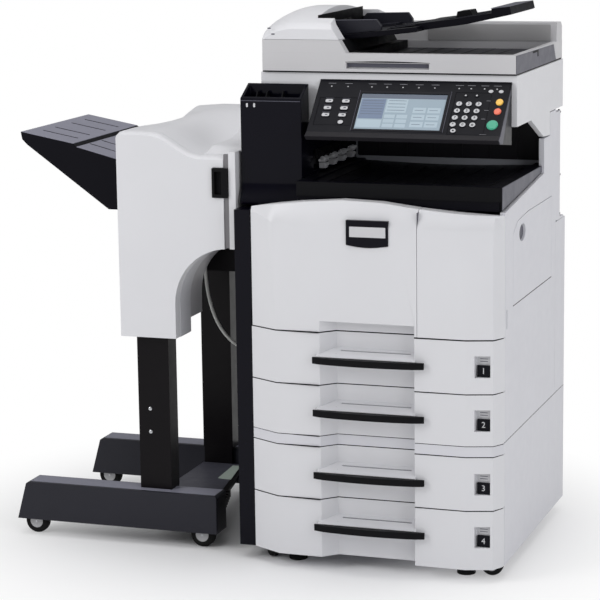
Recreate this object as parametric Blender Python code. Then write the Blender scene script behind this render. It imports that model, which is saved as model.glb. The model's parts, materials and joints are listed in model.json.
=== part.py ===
"""A3 office photocopier: main unit, document feeder, two-drawer paper feeder, bridge unit and finisher.

Metres, +Z up, the front faces -Y. Shapes are laid out from the main unit's datum, the floor point under its
front left corner, and ORIGIN carries that datum to the middle of the assembly's base.
"""
import math

import bmesh
import bpy
from mathutils import Matrix, Vector

# ---------------------------------------------------------------- driving dimensions
ORIGIN = Vector((-0.0237, -0.2580, 0.0))  # the datum, seen from the middle of the base
GAP = 0.0006                      # clearance between neighbouring pieces
UNIT_W = 0.600                    # width over the main unit
BACK_Y = 0.585                    # back of the lower covers
UPPER_BACK_Y = 0.530              # back of the covers above the step
SKIN = 0.012                      # thickness of a side cover
LEFT_SKIN_X = 0.040               # inner face of the black left cover
INNER_R = UNIT_W - SKIN           # inner face of the right cover
BASE_Z = 0.031                    # underside of the skirts
SEAM_Z = 0.3007                   # joint between the paper feeder and the main unit
DRAWERS = ((0.4135, 0.5275, 0.4695), (0.3015, 0.4125, 0.3540),
           (0.1615, 0.2775, 0.2165), (0.0315, 0.1605, 0.1010))  # bottom, top, grip height
DOOR_Z = 0.529
BEVEL_Z = 0.757                   # where the front covers start to lean back
FRONT_BACK_Y = 0.010              # inner plane of all fronts
SCAN_FRONT_Y = 0.112
SCAN_Z = 0.958
PLATEN_Z = 1.0655
LID_Z = 1.0672
PANEL_X = (0.167, 0.588)
PANEL_FOOT = Vector((0.0, -0.003, 0.937))   # lower edge of the sloping panel face
PANEL_LEN = 0.160
FIN_Y = 0.030                     # front of the finisher
FIN_LEFT = -0.282
FIN_RIGHT = -0.003
FIN_REAR = 0.530
DOOR_T = 0.026                    # finisher front cover
CASTER_R = 0.0245
FIN_WHEEL_R = 0.028
FOOT_XS = (0.127, 0.510)          # levelling feet
FOOT_Y = 0.035
REAR_CASTER_XS = (0.095, 0.545)
REAR_CASTER_Y = 0.522
FRONT_SWIVELS = ((0.070, 0.051), (0.551, 0.037))

FRONT_PLAN = ((0.0410, -0.003), (0.108, -0.040), (0.530, -0.046), (0.585, -0.030), (0.600, -0.002))
CHANNEL = ((0.204, -0.060), (0.204, -0.045), (0.237, -0.012), (0.410, -0.012), (0.418, -0.045),
           (0.418, -0.060))
COVER_TOP = ((0.041, 0.787), (0.100, 0.797), (0.160, 0.804), (0.255, 0.811),
             (0.340, 0.808), (0.420, 0.798), (0.500, 0.791), (0.600, 0.786))

COLOURS = {
    "white": ((0.74, 0.74, 0.76), 0.45, 0.0),
    "grey": ((0.45, 0.46, 0.50), 0.50, 0.0),
    "slate": ((0.10, 0.11, 0.15), 0.45, 0.0),
    "black": ((0.02, 0.02, 0.025), 0.30, 0.0),
    "rubber": ((0.03, 0.03, 0.03), 0.85, 0.0),
    "glass": ((0.55, 0.65, 0.68), 0.08, 0.0),
    "screen": ((0.45, 0.55, 0.65), 0.15, 0.0),
    "green": ((0.02, 0.35, 0.20), 0.40, 0.0),
    "red": ((0.75, 0.16, 0.08), 0.40, 0.0),
    "yellow": ((0.85, 0.55, 0.05), 0.40, 0.0),
    "cable": ((0.62, 0.62, 0.60), 0.60, 0.0),
}


# ---------------------------------------------------------------- helpers
def lerp_table(table, x):
    """The value at x of a list of (x, value), straight between its points."""
    for (xa, va), (xb, vb) in zip(table, table[1:]):
        if x <= xb:
            return va + (vb - va) * (x - xa) / (xb - xa)
    return table[-1][1]


def raw(mesh):
    """A scratch object that holds the mesh."""
    bmesh.ops.recalc_face_normals(mesh, faces=mesh.faces)
    data = bpy.data.meshes.new("scratch")
    mesh.to_mesh(data)
    mesh.free()
    obj = bpy.data.objects.new("scratch", data)
    bpy.context.scene.collection.objects.link(obj)
    return obj


def box(x0, x1, y0, y1, z0, z1):
    mesh = bmesh.new()
    bmesh.ops.create_cube(mesh, size=1.0)
    bmesh.ops.scale(mesh, vec=(x1 - x0, y1 - y0, z1 - z0), verts=mesh.verts)
    bmesh.ops.translate(mesh, vec=((x0 + x1) / 2, (y0 + y1) / 2, (z0 + z1) / 2), verts=mesh.verts)
    return raw(mesh)


def prism(outline, lo, hi, axis):
    """An outline swept along an axis; the outline's two numbers are the other two axes, in X, Y, Z order."""
    def point(a, b, c):
        return {"x": (c, a, b), "y": (a, c, b), "z": (a, b, c)}[axis]
    mesh = bmesh.new()
    low = [mesh.verts.new(point(a, b, lo)) for a, b in outline]
    high = [mesh.verts.new(point(a, b, hi)) for a, b in outline]
    mesh.faces.new(low)
    mesh.faces.new(list(reversed(high)))
    for i in range(len(outline)):
        j = (i + 1) % len(outline)
        mesh.faces.new((low[i], low[j], high[j], high[i]))
    return raw(mesh)


def turned(profile, origin, axis, steps=28):
    """A closed solid of revolution; profile is (distance along the axis, radius), end to end."""
    mesh = bmesh.new()
    spin = Vector(axis).normalized().to_track_quat("Z", "Y").to_matrix().to_4x4()
    place = Matrix.Translation(origin) @ spin
    rings = []
    for along, radius in profile:
        ring = []
        for k in range(steps):
            angle = 2 * math.pi * k / steps
            spot = Vector((radius * math.cos(angle), radius * math.sin(angle), along))
            ring.append(mesh.verts.new(place @ spot))
        rings.append(ring)
    for a, b in zip(rings, rings[1:]):
        for k in range(steps):
            m = (k + 1) % steps
            mesh.faces.new((a[k], a[m], b[m], b[k]))
    mesh.faces.new(rings[0])
    mesh.faces.new(list(reversed(rings[-1])))
    return raw(mesh)


def cylinder(start, axis, radius, length, steps=28):
    return turned(((0, radius), (length, radius)), start, axis, steps)


def sheet_solid(xs, ys, top, bottom):
    """A block over a grid of x and y whose top and bottom heights are functions of (x, y)."""
    mesh = bmesh.new()
    up = [[mesh.verts.new((x, y, top(x, y))) for y in ys] for x in xs]
    down = [[mesh.verts.new((x, y, bottom(x, y))) for y in ys] for x in xs]
    nx = len(xs)
    ny = len(ys)
    for i in range(nx - 1):
        for j in range(ny - 1):
            mesh.faces.new((up[i][j], up[i + 1][j], up[i + 1][j + 1], up[i][j + 1]))
            mesh.faces.new((down[i][j], down[i][j + 1], down[i + 1][j + 1], down[i + 1][j]))
    for i in range(nx - 1):
        mesh.faces.new((up[i][0], down[i][0], down[i + 1][0], up[i + 1][0]))
        mesh.faces.new((up[i][-1], up[i + 1][-1], down[i + 1][-1], down[i][-1]))
    for j in range(ny - 1):
        mesh.faces.new((up[0][j], up[0][j + 1], down[0][j + 1], down[0][j]))
        mesh.faces.new((up[-1][j], down[-1][j], down[-1][j + 1], up[-1][j + 1]))
    bmesh.ops.triangulate(mesh, faces=mesh.faces)
    return raw(mesh)


def combine(first, others, how):
    """Applies one exact Boolean per helper and removes the helpers."""
    for other in others:
        step = first.modifiers.new("step", "BOOLEAN")
        step.operation = how
        step.solver = "EXACT"
        step.object = other
        graph = bpy.context.evaluated_depsgraph_get()
        done = bpy.data.meshes.new_from_object(first.evaluated_get(graph))
        first.modifiers.clear()
        old = first.data
        first.data = done
        bpy.data.meshes.remove(old)
        bpy.data.objects.remove(other, do_unlink=True)
    return first


def union(first, *others):
    return combine(first, others, "UNION")


def cut(first, *others):
    return combine(first, others, "DIFFERENCE")


def material(name, kind):
    colour, roughness, metallic = COLOURS[kind]
    made = bpy.data.materials.new(name)
    made.use_nodes = True
    shader = made.node_tree.nodes["Principled BSDF"]
    shader.inputs["Base Color"].default_value = (*colour, 1.0)
    shader.inputs["Roughness"].default_value = roughness
    shader.inputs["Metallic"].default_value = metallic
    made.diffuse_color = (*colour, 1.0)
    return made


def finish(obj, name, kind, pivot=(0, 0, 0), soft=False):
    """Names the solid, puts its origin on the pivot, moves it into place and gives it its own material."""
    pivot = Vector(pivot)
    obj.name = name
    obj.data.name = name
    obj.data.transform(Matrix.Translation(-pivot))
    obj.location = ORIGIN + pivot
    obj.data.materials.clear()
    obj.data.materials.append(material(name, kind))
    if soft:
        for face in obj.data.polygons:
            face.use_smooth = True
        obj.data.set_sharp_from_angle(angle=math.radians(35))
    return obj


def front_plan(x):
    return lerp_table(FRONT_PLAN, x)


# ---------------------------------------------------------------- paper drawers
def front_outline(back):
    """The plan of every drawer front: facet, flat, chamfer, corner."""
    return [*FRONT_PLAN, (UNIT_W, back), (FRONT_PLAN[0][0], back)]


def drawer_front(index):
    low, high, grip = DRAWERS[index]
    body = prism(front_outline(FRONT_BACK_Y), low, high, "z")
    channel = prism(CHANNEL, low - 0.01, high + 0.01, "z")
    tag = box(0.547, 0.579, -0.060, -0.0245, grip - 0.021, grip + 0.025)
    cut(body, channel, tag)
    shelf_side = ((-0.0100, grip + 0.024), (-0.0505, grip + 0.0085), (-0.0505, grip - 0.0105),
                  (-0.0100, grip - 0.014))
    shelf = prism(shelf_side, 0.2015, 0.4205, "x")
    slot = box(0.250, 0.405, -0.026, -0.0215, grip - 0.004, grip + 0.05)
    cut(shelf, slot)
    union(body, shelf)
    return finish(body, f"drawer_front_{index + 1}", "white", (0.3, FRONT_BACK_Y, (low + high) / 2))


def drawer_grip(index):
    low, high, grip = DRAWERS[index]
    points = []
    steps = 12
    for k in range(steps + 1):
        t = k / steps
        bow = math.sin(math.pi * t) ** 0.55 if 0 < t < 1 else 0.0
        points.append((0.1950 + 0.2460 * t, -0.0515 - 0.0040 - 0.0135 * bow))
    outline = points + [(0.4410, -0.0511), (0.1950, -0.0511)]
    body = prism(outline, grip - 0.0070, grip + 0.0070, "z")
    return finish(body, f"drawer_grip_{index + 1}", "black", (0.3, FRONT_BACK_Y, (low + high) / 2))


def drawer_tray(index):
    low, high, _ = DRAWERS[index]
    floor = 0.078 if index == 3 else low + 0.010
    top = high - 0.012
    left = 0.060
    right = 0.566
    body = box(left, right, 0.0106, 0.480, floor, top)
    inside = box(left + 0.004, right - 0.004, 0.0166, 0.476, floor + 0.004, top + 0.02)
    cut(body, inside)
    return finish(body, f"drawer_tray_{index + 1}", "grey", (0.3, FRONT_BACK_Y, (low + high) / 2))


# ---------------------------------------------------------------- main unit
def main_frame():
    left = LEFT_SKIN_X + GAP
    right = INNER_R - GAP
    body = box(left, left + 0.007, 0.014, 0.552, SEAM_Z, 0.700)
    union(body, box(left, right, 0.0145, 0.5515, SEAM_Z + 0.0003, SEAM_Z + 0.006))
    union(body, box(right - 0.007, right, 0.014, 0.552, SEAM_Z, 0.700))
    union(body, box(left + 0.001, right - 0.001, 0.546, 0.5515, SEAM_Z + 0.001, 0.699))
    union(body, box(left + 0.001, right - 0.001, 0.490, 0.551, 0.693, 0.6995))
    union(body, box(left, left + 0.0065, 0.0142, 0.498, 0.690, 0.780))
    union(body, box(right - 0.0065, right, 0.0142, 0.498, 0.690, 0.780))
    union(body, box(left + 0.0005, right - 0.0005, 0.0148, 0.4985, 0.774, 0.7805))
    union(body, box(left + 0.0005, right - 0.0005, 0.4925, 0.4990, 0.6935, 0.9500))
    union(body, box(left + 0.002, right - 0.002, 0.0150, 0.5490, 0.5285, 0.5345))
    union(body, box(left + 0.002, right - 0.002, 0.0152, 0.5492, 0.4118, 0.4142))
    union(body, box(0.1450, right - 0.0008, 0.4300, 0.4970, 0.7790, 0.9495))
    return finish(body, "main_frame", "grey")


def left_cover():
    body = box(0.003, LEFT_SKIN_X, 0.0, BACK_Y, BASE_Z, 0.779)
    cut(body, box(0.010, 0.050, 0.012, 0.5550, BASE_Z + 0.010, 0.772))
    cut(body, box(-0.010, 0.0045, -0.01, BACK_Y + 0.01, SEAM_Z - 0.0010, SEAM_Z + 0.0010))
    cut(body, box(-0.010, 0.060, 0.5306, 0.600, 0.7036, 0.800))
    return finish(body, "left_cover", "black")


def rear_cover():
    low = SEAM_Z + GAP
    x0 = LEFT_SKIN_X + GAP
    body = box(x0, UNIT_W, 0.5556, BACK_Y, low, 0.700)
    cut(body, box(x0 + 0.008, UNIT_W - 0.012, 0.540, BACK_Y - 0.006, low + 0.008, 0.692))
    union(body, box(INNER_R + 0.0003, UNIT_W - 0.0001, 0.4885, 0.5700, low + 0.0002, 0.6996))
    upper = box(0.004, UNIT_W - 0.0002, 0.5000, UPPER_BACK_Y, 0.7040, 0.9500)
    union(upper, box(0.0045, UNIT_W - 0.0004, 0.5006, 0.5520, 0.7004, 0.7060))
    union(upper, box(INNER_R + 0.0004, UNIT_W - 0.0003, 0.4886, 0.5120, 0.7035, 0.9498))
    cut(upper, box(0.014, UNIT_W - 0.014, 0.480, UPPER_BACK_Y - 0.005, 0.7120, 0.9420))
    cut(upper, box(0.150, 0.450, 0.480, 0.510, 0.690, 0.960))
    union(body, upper, box(x0 + 0.001, UNIT_W - 0.0006, 0.5560, 0.5700, 0.690, 0.7055))
    union(body, box(x0 + 0.0012, UNIT_W - 0.0007, 0.5240, 0.5600, 0.7006, 0.7054))
    cut(body, box(-0.010, x0 + 0.0002, 0.450, 0.600, 0.600, 0.7796))
    return finish(body, "rear_cover", "white")


def right_cover():
    side = ((0.0120, SEAM_Z + GAP), (0.4879, SEAM_Z + GAP), (0.4879, 0.9565), (0.4250, 0.9565),
            (0.4250, 0.9045), (0.3670, 0.9045), (0.3670, 0.8270), (0.0120, 0.7910))
    body = prism(side, INNER_R, UNIT_W, "x")
    cut(body, prism(mp_outline(0.0010), INNER_R - 0.01, UNIT_W + 0.01, "x"))
    cut(body, box(UNIT_W - 0.006, UNIT_W + 0.01, 0.0230, 0.0290, 0.5430, 0.5830))
    return finish(body, "right_cover", "white")


def mp_outline(grow):
    return ((0.081 - grow, 0.582 - grow), (0.447 + grow, 0.582 - grow), (0.447 + grow, 0.765 + grow),
            (0.215, 0.765 + grow), (0.120 - grow, 0.757 + grow), (0.081 - grow, 0.735 + grow))


def mp_tray():
    body = prism(mp_outline(0.0), UNIT_W - 0.0095, UNIT_W, "x")
    steps = 20
    oval = []
    for k in range(steps):
        a = 2 * math.pi * k / steps
        oval.append((0.164 + 0.029 * math.cos(a), 0.727 + 0.0185 * math.sin(a)))
    cut(body, prism(oval, UNIT_W - 0.0065, UNIT_W + 0.01, "x"))
    return finish(body, "mp_tray", "white", (UNIT_W, 0.264, 0.582))


def cover_shell(name, stations, back, kind, pivot, pockets):
    """A front cover that follows the plan, has an arched top edge and leans back above the bevel line."""
    mesh = bmesh.new()
    rows = []
    for x in stations:
        y = front_plan(x)
        top = lerp_table(COVER_TOP, x)
        lean = min(y + 0.016, -0.0015)
        rows.append([mesh.verts.new(p) for p in ((x, y, DOOR_Z), (x, y, BEVEL_Z + (top - 0.008 - BEVEL_Z) *
                     max(0.0, min(1.0, (0.108 - x) / 0.067))), (x, lean, top - 0.003), (x, lean + 0.003, top),
                     (x, 0.0045, top), (x, back, top - 0.006), (x, back, DOOR_Z))])
    count = len(rows[0])
    for a, b in zip(rows, rows[1:]):
        for k in range(count):
            m = (k + 1) % count
            mesh.faces.new((a[k], a[m], b[m], b[k]))
    mesh.faces.new(rows[0])
    mesh.faces.new(list(reversed(rows[-1])))
    bmesh.ops.triangulate(mesh, faces=mesh.faces)
    body = raw(mesh)
    for pocket in pockets:
        cut(body, pocket)
    return finish(body, name, kind, pivot)


def front_door():
    stations = (0.0430, 0.0640, 0.0860, 0.1080, 0.1600, 0.2080, 0.2550, 0.3000, 0.3400, 0.3800, 0.4236)
    channel = prism(CHANNEL, DOOR_Z - 0.02, 0.5525, "z")
    pockets = (channel, box(0.120, 0.405, -0.030, 0.02, 0.575, 0.735))
    return cover_shell("front_door", stations, FRONT_BACK_Y, "white", (0.233, -0.0470, 0.5285), pockets)


def front_right_cover():
    stations = (0.4245, 0.4600, 0.5000, 0.5300, 0.5600, 0.5850, 0.6000)
    pockets = (box(0.440, 0.570, -0.020, 0.03, 0.560, 0.735),)
    return cover_shell("front_right_cover", stations, FRONT_BACK_Y, "white", (0, 0, 0), pockets)


def inner_tray():
    """The output tray: a slab that follows the right cover's sloping edge, with a hollowed top."""
    side = ((0.0056, 0.8130), (0.0056, 0.8440), (0.4180, 0.8440), (0.4240, 0.8360), (0.4240, 0.8330),
            (0.3600, 0.8275))
    body = prism(side, 0.1440, 0.5938, "x")
    scoop_xs = [0.170 + 0.040 * k for k in range(11)]
    scoop_ys = [0.024 + 0.046 * k for k in range(10)]

    def dip(x, y):
        u = (x - 0.160) / 0.430
        return 0.8405 - 0.0060 * math.sin(math.pi * max(0.0, min(1.0, u))) - 0.0010 * (y > 0.3)
    cut(body, sheet_solid(scoop_xs, scoop_ys, lambda x, y: 0.870, dip))
    union(body, prism(((0.0108, 0.7925), (0.0108, 0.8200), (0.030, 0.8200), (0.030, 0.7960)),
                      0.1446, 0.5870, "x"))
    rail = prism(((0.0130, 0.7935), (0.0130, 0.8180), (0.3655, 0.8290), (0.3655, 0.8280)),
                 0.5700, 0.5930, "x")
    union(body, rail)
    cut(body, box(0.5870, 0.6100, 0.3655, 0.4500, 0.7800, 0.8700))
    return finish(body, "inner_tray", "black")


def toner_container():
    body = cylinder((0.150, 0.040, 0.720), (0, 1, 0), 0.030, 0.400, 24)
    union(body, box(0.135, 0.165, 0.035, 0.430, 0.6790, 0.715))
    union(body, cylinder((0.150, 0.028, 0.722), (0, 1, 0), 0.022, 0.020, 20))
    return finish(body, "toner_container", "black", soft=True)


def drum_unit():
    body = box(0.240, 0.500, 0.040, 0.450, 0.5850, 0.6400)
    union(body, cylinder((0.330, 0.034, 0.640), (0, 1, 0), 0.030, 0.420, 24))
    union(body, box(0.400, 0.470, 0.026, 0.060, 0.600, 0.665))
    return finish(body, "drum_unit", "slate", soft=True)


def exit_roller():
    profile = [(0.0, 0.003)]
    for k in range(4):
        start = 0.020 + 0.065 * k
        profile += [(start, 0.003), (start + 0.0006, 0.0068), (start + 0.0250, 0.0068),
                    (start + 0.0256, 0.003)]
    profile.append((0.262, 0.003))
    body = turned(profile, (0.1535, 0.138, 0.872), (0, 1, 0), 16)
    return finish(body, "exit_roller", "white", (0.1535, 0.138, 0.872), soft=True)


# ---------------------------------------------------------------- scanner and control panel
def scanner_housing():
    body = box(0.030, UNIT_W, SCAN_FRONT_Y, 0.555, SCAN_Z, PLATEN_Z)
    skirt = ((0.120, SCAN_Z + 0.002), (0.120, SCAN_Z), (0.241, SCAN_Z), (0.363, 0.909), (0.4238, 0.9060),
             (0.4238, SCAN_Z + 0.002))
    union(body, prism(skirt, INNER_R, UNIT_W, "x"))
    cut(body, box(0.0450, 0.5850, 0.1270, 0.5400, 0.9750, 1.0555))
    cut(body, box(0.0600, 0.5700, 0.1380, 0.4850, 1.0450, 1.0800))
    cut(body, box(0.0545, 0.5755, 0.1325, 0.4905, 1.0598, 1.0800))
    return finish(body, "scanner_housing", "white")


def platen_glass():
    body = box(0.0550, 0.5750, 0.1330, 0.4900, 1.0602, 1.0650)
    return finish(body, "platen_glass", "glass")


def scan_carriage():
    body = box(0.0600, 0.0980, 0.1380, 0.5300, 0.9900, 1.0400)
    cut(body, box(0.0700, 0.0880, 0.1500, 0.5200, 1.0300, 1.0500))
    return finish(body, "scan_carriage", "slate", (0.079, 0.334, 1.015))


def panel_point(x, s, lift):
    """A point of the control panel: x across, s up the slope, lift off its face."""
    slope = Vector((0, math.sqrt(0.5), math.sqrt(0.5)))
    normal = Vector((0, -math.sqrt(0.5), math.sqrt(0.5)))
    return Vector((x, 0, 0)) + PANEL_FOOT + slope * s + normal * lift


def panel_block(outline, low, high):
    """An outline in (x, s) swept from one height off the panel face to another."""
    mesh = bmesh.new()
    below = [mesh.verts.new(panel_point(x, s, low)) for x, s in outline]
    above = [mesh.verts.new(panel_point(x, s, high)) for x, s in outline]
    mesh.faces.new(below)
    mesh.faces.new(list(reversed(above)))
    for i in range(len(outline)):
        j = (i + 1) % len(outline)
        mesh.faces.new((below[i], below[j], above[j], above[i]))
    return raw(mesh)


def panel_rect(x0, x1, s0, s1, low, high):
    return panel_block(((x0, s0), (x1, s0), (x1, s1), (x0, s1)), low, high)


def panel_round(x, s, rx, rs, low, high, steps=20):
    ring = [(x + rx * math.cos(2 * math.pi * k / steps), s + rs * math.sin(2 * math.pi * k / steps))
            for k in range(steps)]
    return panel_block(ring, low, high)


SCREEN = (0.269, 0.456, 0.030, 0.125)          # x0, x1, s0, s1
FUNCTION_PAD = (0.178, 0.262, 0.038, 0.112)
NUMBER_PAD = (0.474, 0.5505, 0.020, 0.132)
START_KEY = (0.5665, 0.047, 0.0120, 0.0125)     # x, s, radius across, radius up
STOP_KEY = (0.5715, 0.083, 0.0078, 0.0085)
RESET_KEY = (0.5715, 0.108, 0.0078, 0.0085)


def panel_housing():
    top = panel_point(0, PANEL_LEN, 0)
    lip = panel_point(0, 0.019, 0)
    side = ((SCAN_FRONT_Y - GAP, 1.0520), (top.y, top.z), (lip.y, lip.z), (-0.0040, 0.9420),
            (0.0080, 0.9330), (SCAN_FRONT_Y - GAP, 0.9200))
    body = prism(side, PANEL_X[0], PANEL_X[1], "x")
    x0, x1, s0, s1 = SCREEN
    cut(body, panel_rect(x0 - 0.0006, x1 + 0.0006, s0 - 0.0006, s1 + 0.0006, -0.007, 0.02))
    for x0, x1, s0, s1 in (FUNCTION_PAD, NUMBER_PAD):
        cut(body, panel_rect(x0 - 0.0006, x1 + 0.0006, s0 - 0.0006, s1 + 0.0006, -0.0065, 0.02))
    for x, s, rx, rs in (START_KEY, STOP_KEY, RESET_KEY):
        cut(body, panel_round(x, s, rx + 0.0006, rs + 0.0006, -0.0065, 0.02))
    return finish(body, "panel_housing", "black")


def touch_screen():
    x0, x1, s0, s1 = SCREEN
    return finish(panel_rect(x0, x1, s0, s1, -0.0066, -0.0010), "touch_screen", "screen")


def round_key(name, key, kind):
    x, s, rx, rs = key
    body = panel_round(x, s, rx, rs, -0.0050, 0.0012, 24)
    union(body, panel_round(x, s, rx * 0.82, rs * 0.82, -0.001, 0.0020, 24))
    return finish(body, name, kind, panel_point(x, s, 0), soft=True)


def numeric_keypad():
    x0, x1, s0, s1 = NUMBER_PAD
    body = panel_rect(x0, x1, s0, s1, -0.0050, -0.0002)
    for row in range(4):
        for column in range(3):
            x = 0.4860 + 0.0210 * column - 0.0012 * row
            s = 0.1010 - 0.0185 * row
            union(body, panel_round(x, s, 0.0068, 0.0062, -0.002, 0.0014, 14))
    union(body, panel_round(0.4860, 0.0290, 0.0062, 0.0055, -0.002, 0.0014, 14))
    for x in (0.4960, 0.5200):
        union(body, panel_round(x, 0.1240, 0.0048, 0.0040, -0.002, 0.0012, 12))
    return finish(body, "numeric_keypad", "black", panel_point((x0 + x1) / 2, (s0 + s1) / 2, 0))


def function_keys():
    x0, x1, s0, s1 = FUNCTION_PAD
    body = panel_rect(x0, x1, s0, s1, -0.0050, -0.0002)
    for row in range(3):
        for column in range(2):
            x = 0.2000 + 0.0370 * column
            s = 0.1020 - 0.0190 * row
            union(body, panel_rect(x - 0.0085, x + 0.0085, s - 0.0045, s + 0.0045, -0.002, 0.0014))
    union(body, panel_round(0.2370, 0.0450, 0.0065, 0.0055, -0.002, 0.0014, 14))
    return finish(body, "function_keys", "black", panel_point((x0 + x1) / 2, (s0 + s1) / 2, 0))


# ---------------------------------------------------------------- document feeder
def dp_body():
    body = box(0.036, 0.598, 0.106, 0.550, LID_Z, 1.1080)
    low = ((0.0362, 1.100), (0.2290, 1.100), (0.2262, 1.108), (0.2098, 1.1358), (0.0362, 1.1358))
    union(body, prism(low, 0.1062, 0.5498, "y"))
    rear = ((0.492, 1.100), (0.550 - 0.0003, 1.100), (0.550 - 0.0003, 1.140), (0.538, 1.1500),
            (0.498, 1.1500))
    union(body, prism(rear, 0.2106, 0.5978, "x"))
    cut(body, box(0.2500, 0.5860, 0.1280, 0.4915, 1.0900, 1.1300))
    cut(body, box(0.1500, 0.3000, 0.1500, 0.4700, 1.1180, 1.1500))
    cut(body, prism(((0.090, 1.0700), (0.116, 1.0780), (0.116, 1.0870), (0.090, 1.0900)),
                    0.2260, 0.4100, "x"))
    cut(body, box(0.0500, 0.5850, 0.1200, 0.5350, 1.0600, 1.0790))
    return finish(body, "dp_body", "white", (0.317, 0.548, 1.068), soft=True)


def dome_height(x, y):
    along = (y - 0.106) / 0.444
    rise = 1.1640 + 0.034 * math.sin(math.pi * min(1.0, max(0.0, along)) ** 0.8)
    side = max(0.0, (0.105 - x) / 0.069)
    front = max(0.0, (0.124 - y) / 0.018)
    return max(1.1390, rise - 0.022 * side ** 2 - 0.006 * front ** 2)


def dp_feeder_cover():
    xs = (0.0364, 0.0430, 0.0520, 0.0650, 0.0830, 0.1050, 0.1400, 0.1700, 0.1880, 0.2094)
    ys = (0.1062, 0.1120, 0.1240, 0.160, 0.200, 0.250, 0.300, 0.350, 0.400, 0.450, 0.500, 0.530, 0.5496)

    def top(x, y):
        edge = 1.1370 + (0.2094 - x) / 0.0210 * 0.034
        return min(dome_height(x, y), edge) if x > 0.188 else dome_height(x, y)
    body = sheet_solid(xs, ys, top, lambda x, y: 1.1364)
    cut(body, box(0.1497, 0.3000, 0.1487, 0.4713, 1.1300, 1.2500))
    cut(body, box(0.0735, 0.1437, 0.1265, 0.5270, 1.1300, 1.1480))
    return finish(body, "dp_feeder_cover", "white", (0.0364, 0.328, 1.1362), soft=True)


def dp_tray():
    low = ((0.1540, 1.1290), (0.1540, 1.1370), (0.2600, 1.1490), (0.3650, 1.1610), (0.3650, 1.1500),
           (0.2600, 1.1380))
    body = prism(low, 0.1700, 0.4600, "y")
    far = ((0.3500, 1.1570), (0.3500, 1.1650), (0.4600, 1.1790), (0.5600, 1.1960), (0.5620, 1.1860),
           (0.4600, 1.1640), (0.3640, 1.1510))
    union(body, prism(far, 0.2100, 0.4200, "y"))
    union(body, prism(((0.5200, 1.1800), (0.5200, 1.1980), (0.5600, 1.2040), (0.5640, 1.1870)),
                      0.2050, 0.4250, "y"))
    return finish(body, "dp_tray", "slate", (0.158, 0.315, 1.131))


def dp_guide(name, y, inward):
    """A side guide: a foot on the tray and a low fence on its outer edge."""
    def top(x):
        return 1.1376 + (x - 0.1540) * 0.1140
    foot = ((0.1660, top(0.166)), (0.1660, top(0.166) + 0.005), (0.2560, top(0.256) + 0.005),
            (0.2560, top(0.256)))
    body = prism(foot, min(y, y + inward), max(y, y + inward), "y")
    fence = ((0.1640, top(0.164) + 0.0002), (0.1640, 1.1640), (0.1720, 1.1720), (0.2700, 1.1740),
             (0.2800, 1.1600), (0.2800, top(0.280) + 0.0002))
    thick = 0.012 if inward > 0 else -0.012
    union(body, prism(fence, min(y - 0.0001, y + thick), max(y + 0.0001, y + thick), "y"))
    return finish(body, name, "slate", (0.220, y, 1.150))


# ---------------------------------------------------------------- bridge unit
def bridge_unit():
    side = ((0.0400, 0.7840), (0.0370, 0.7900), (0.0400, 0.8000), (0.0470, 0.8150), (0.0500, 0.8350),
            (0.0500, 1.0140), (0.1020, 1.0420), (0.1020, 0.9480), (0.4700, 0.9480), (0.4700, 0.7840))
    body = prism(side, 0.0040, 0.1420, "x")
    inside = ((0.0560, 0.9560), (0.0560, 1.0600), (0.0970, 1.0600), (0.0970, 0.9560))
    cut(body, prism(inside, 0.0100, 0.1360, "x"))
    cut(body, box(0.1300, 0.1500, 0.1300, 0.4100, 0.8500, 0.8950))
    cut(body, box(0.0140, 0.1320, 0.1150, 0.4600, 0.7700, 0.8400))
    return finish(body, "bridge_unit", "black", soft=True)


# ---------------------------------------------------------------- paper feeder cabinet and its feet
def feeder_cabinet():
    left = LEFT_SKIN_X + GAP
    low = BASE_Z
    high = SEAM_Z - GAP
    body = box(left, UNIT_W, 0.0110, BACK_Y, low, high)
    cut(body, box(left + 0.008, UNIT_W - 0.012, -0.02, BACK_Y - 0.006, 0.0700, 0.2790))
    cut(body, box(left + 0.006, UNIT_W - 0.007, 0.0000, BACK_Y - 0.008, low - 0.02, 0.0630))
    union(body, box(left + 0.0015, UNIT_W - 0.0015, 0.0115, 0.560, 0.1600, 0.1620))
    band = prism(front_outline(0.020), 0.2785, high - 0.0001, "z")
    cut(band, prism(CHANNEL, 0.270, 0.310, "z"))
    union(body, band)
    for x in REAR_CASTER_XS:
        union(body, cylinder((x, 0.505, 0.0640), (0, 0, -1), 0.016, 0.0130, 20))
        for side in (-1, 1):
            fork = box(x + side * 0.0125 - 0.0015, x + side * 0.0125 + 0.0015, 0.503, 0.535, 0.0180, 0.0540)
            union(body, fork)
    for x in FOOT_XS:
        union(body, cylinder((x, FOOT_Y, 0.0640), (0, 0, -1), 0.011, 0.0140, 20))
    for x, y in FRONT_SWIVELS:
        union(body, cylinder((x, y, 0.0640), (0, 0, -1), 0.016, 0.0050, 20))
    return finish(body, "feeder_cabinet", "white")


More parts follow.
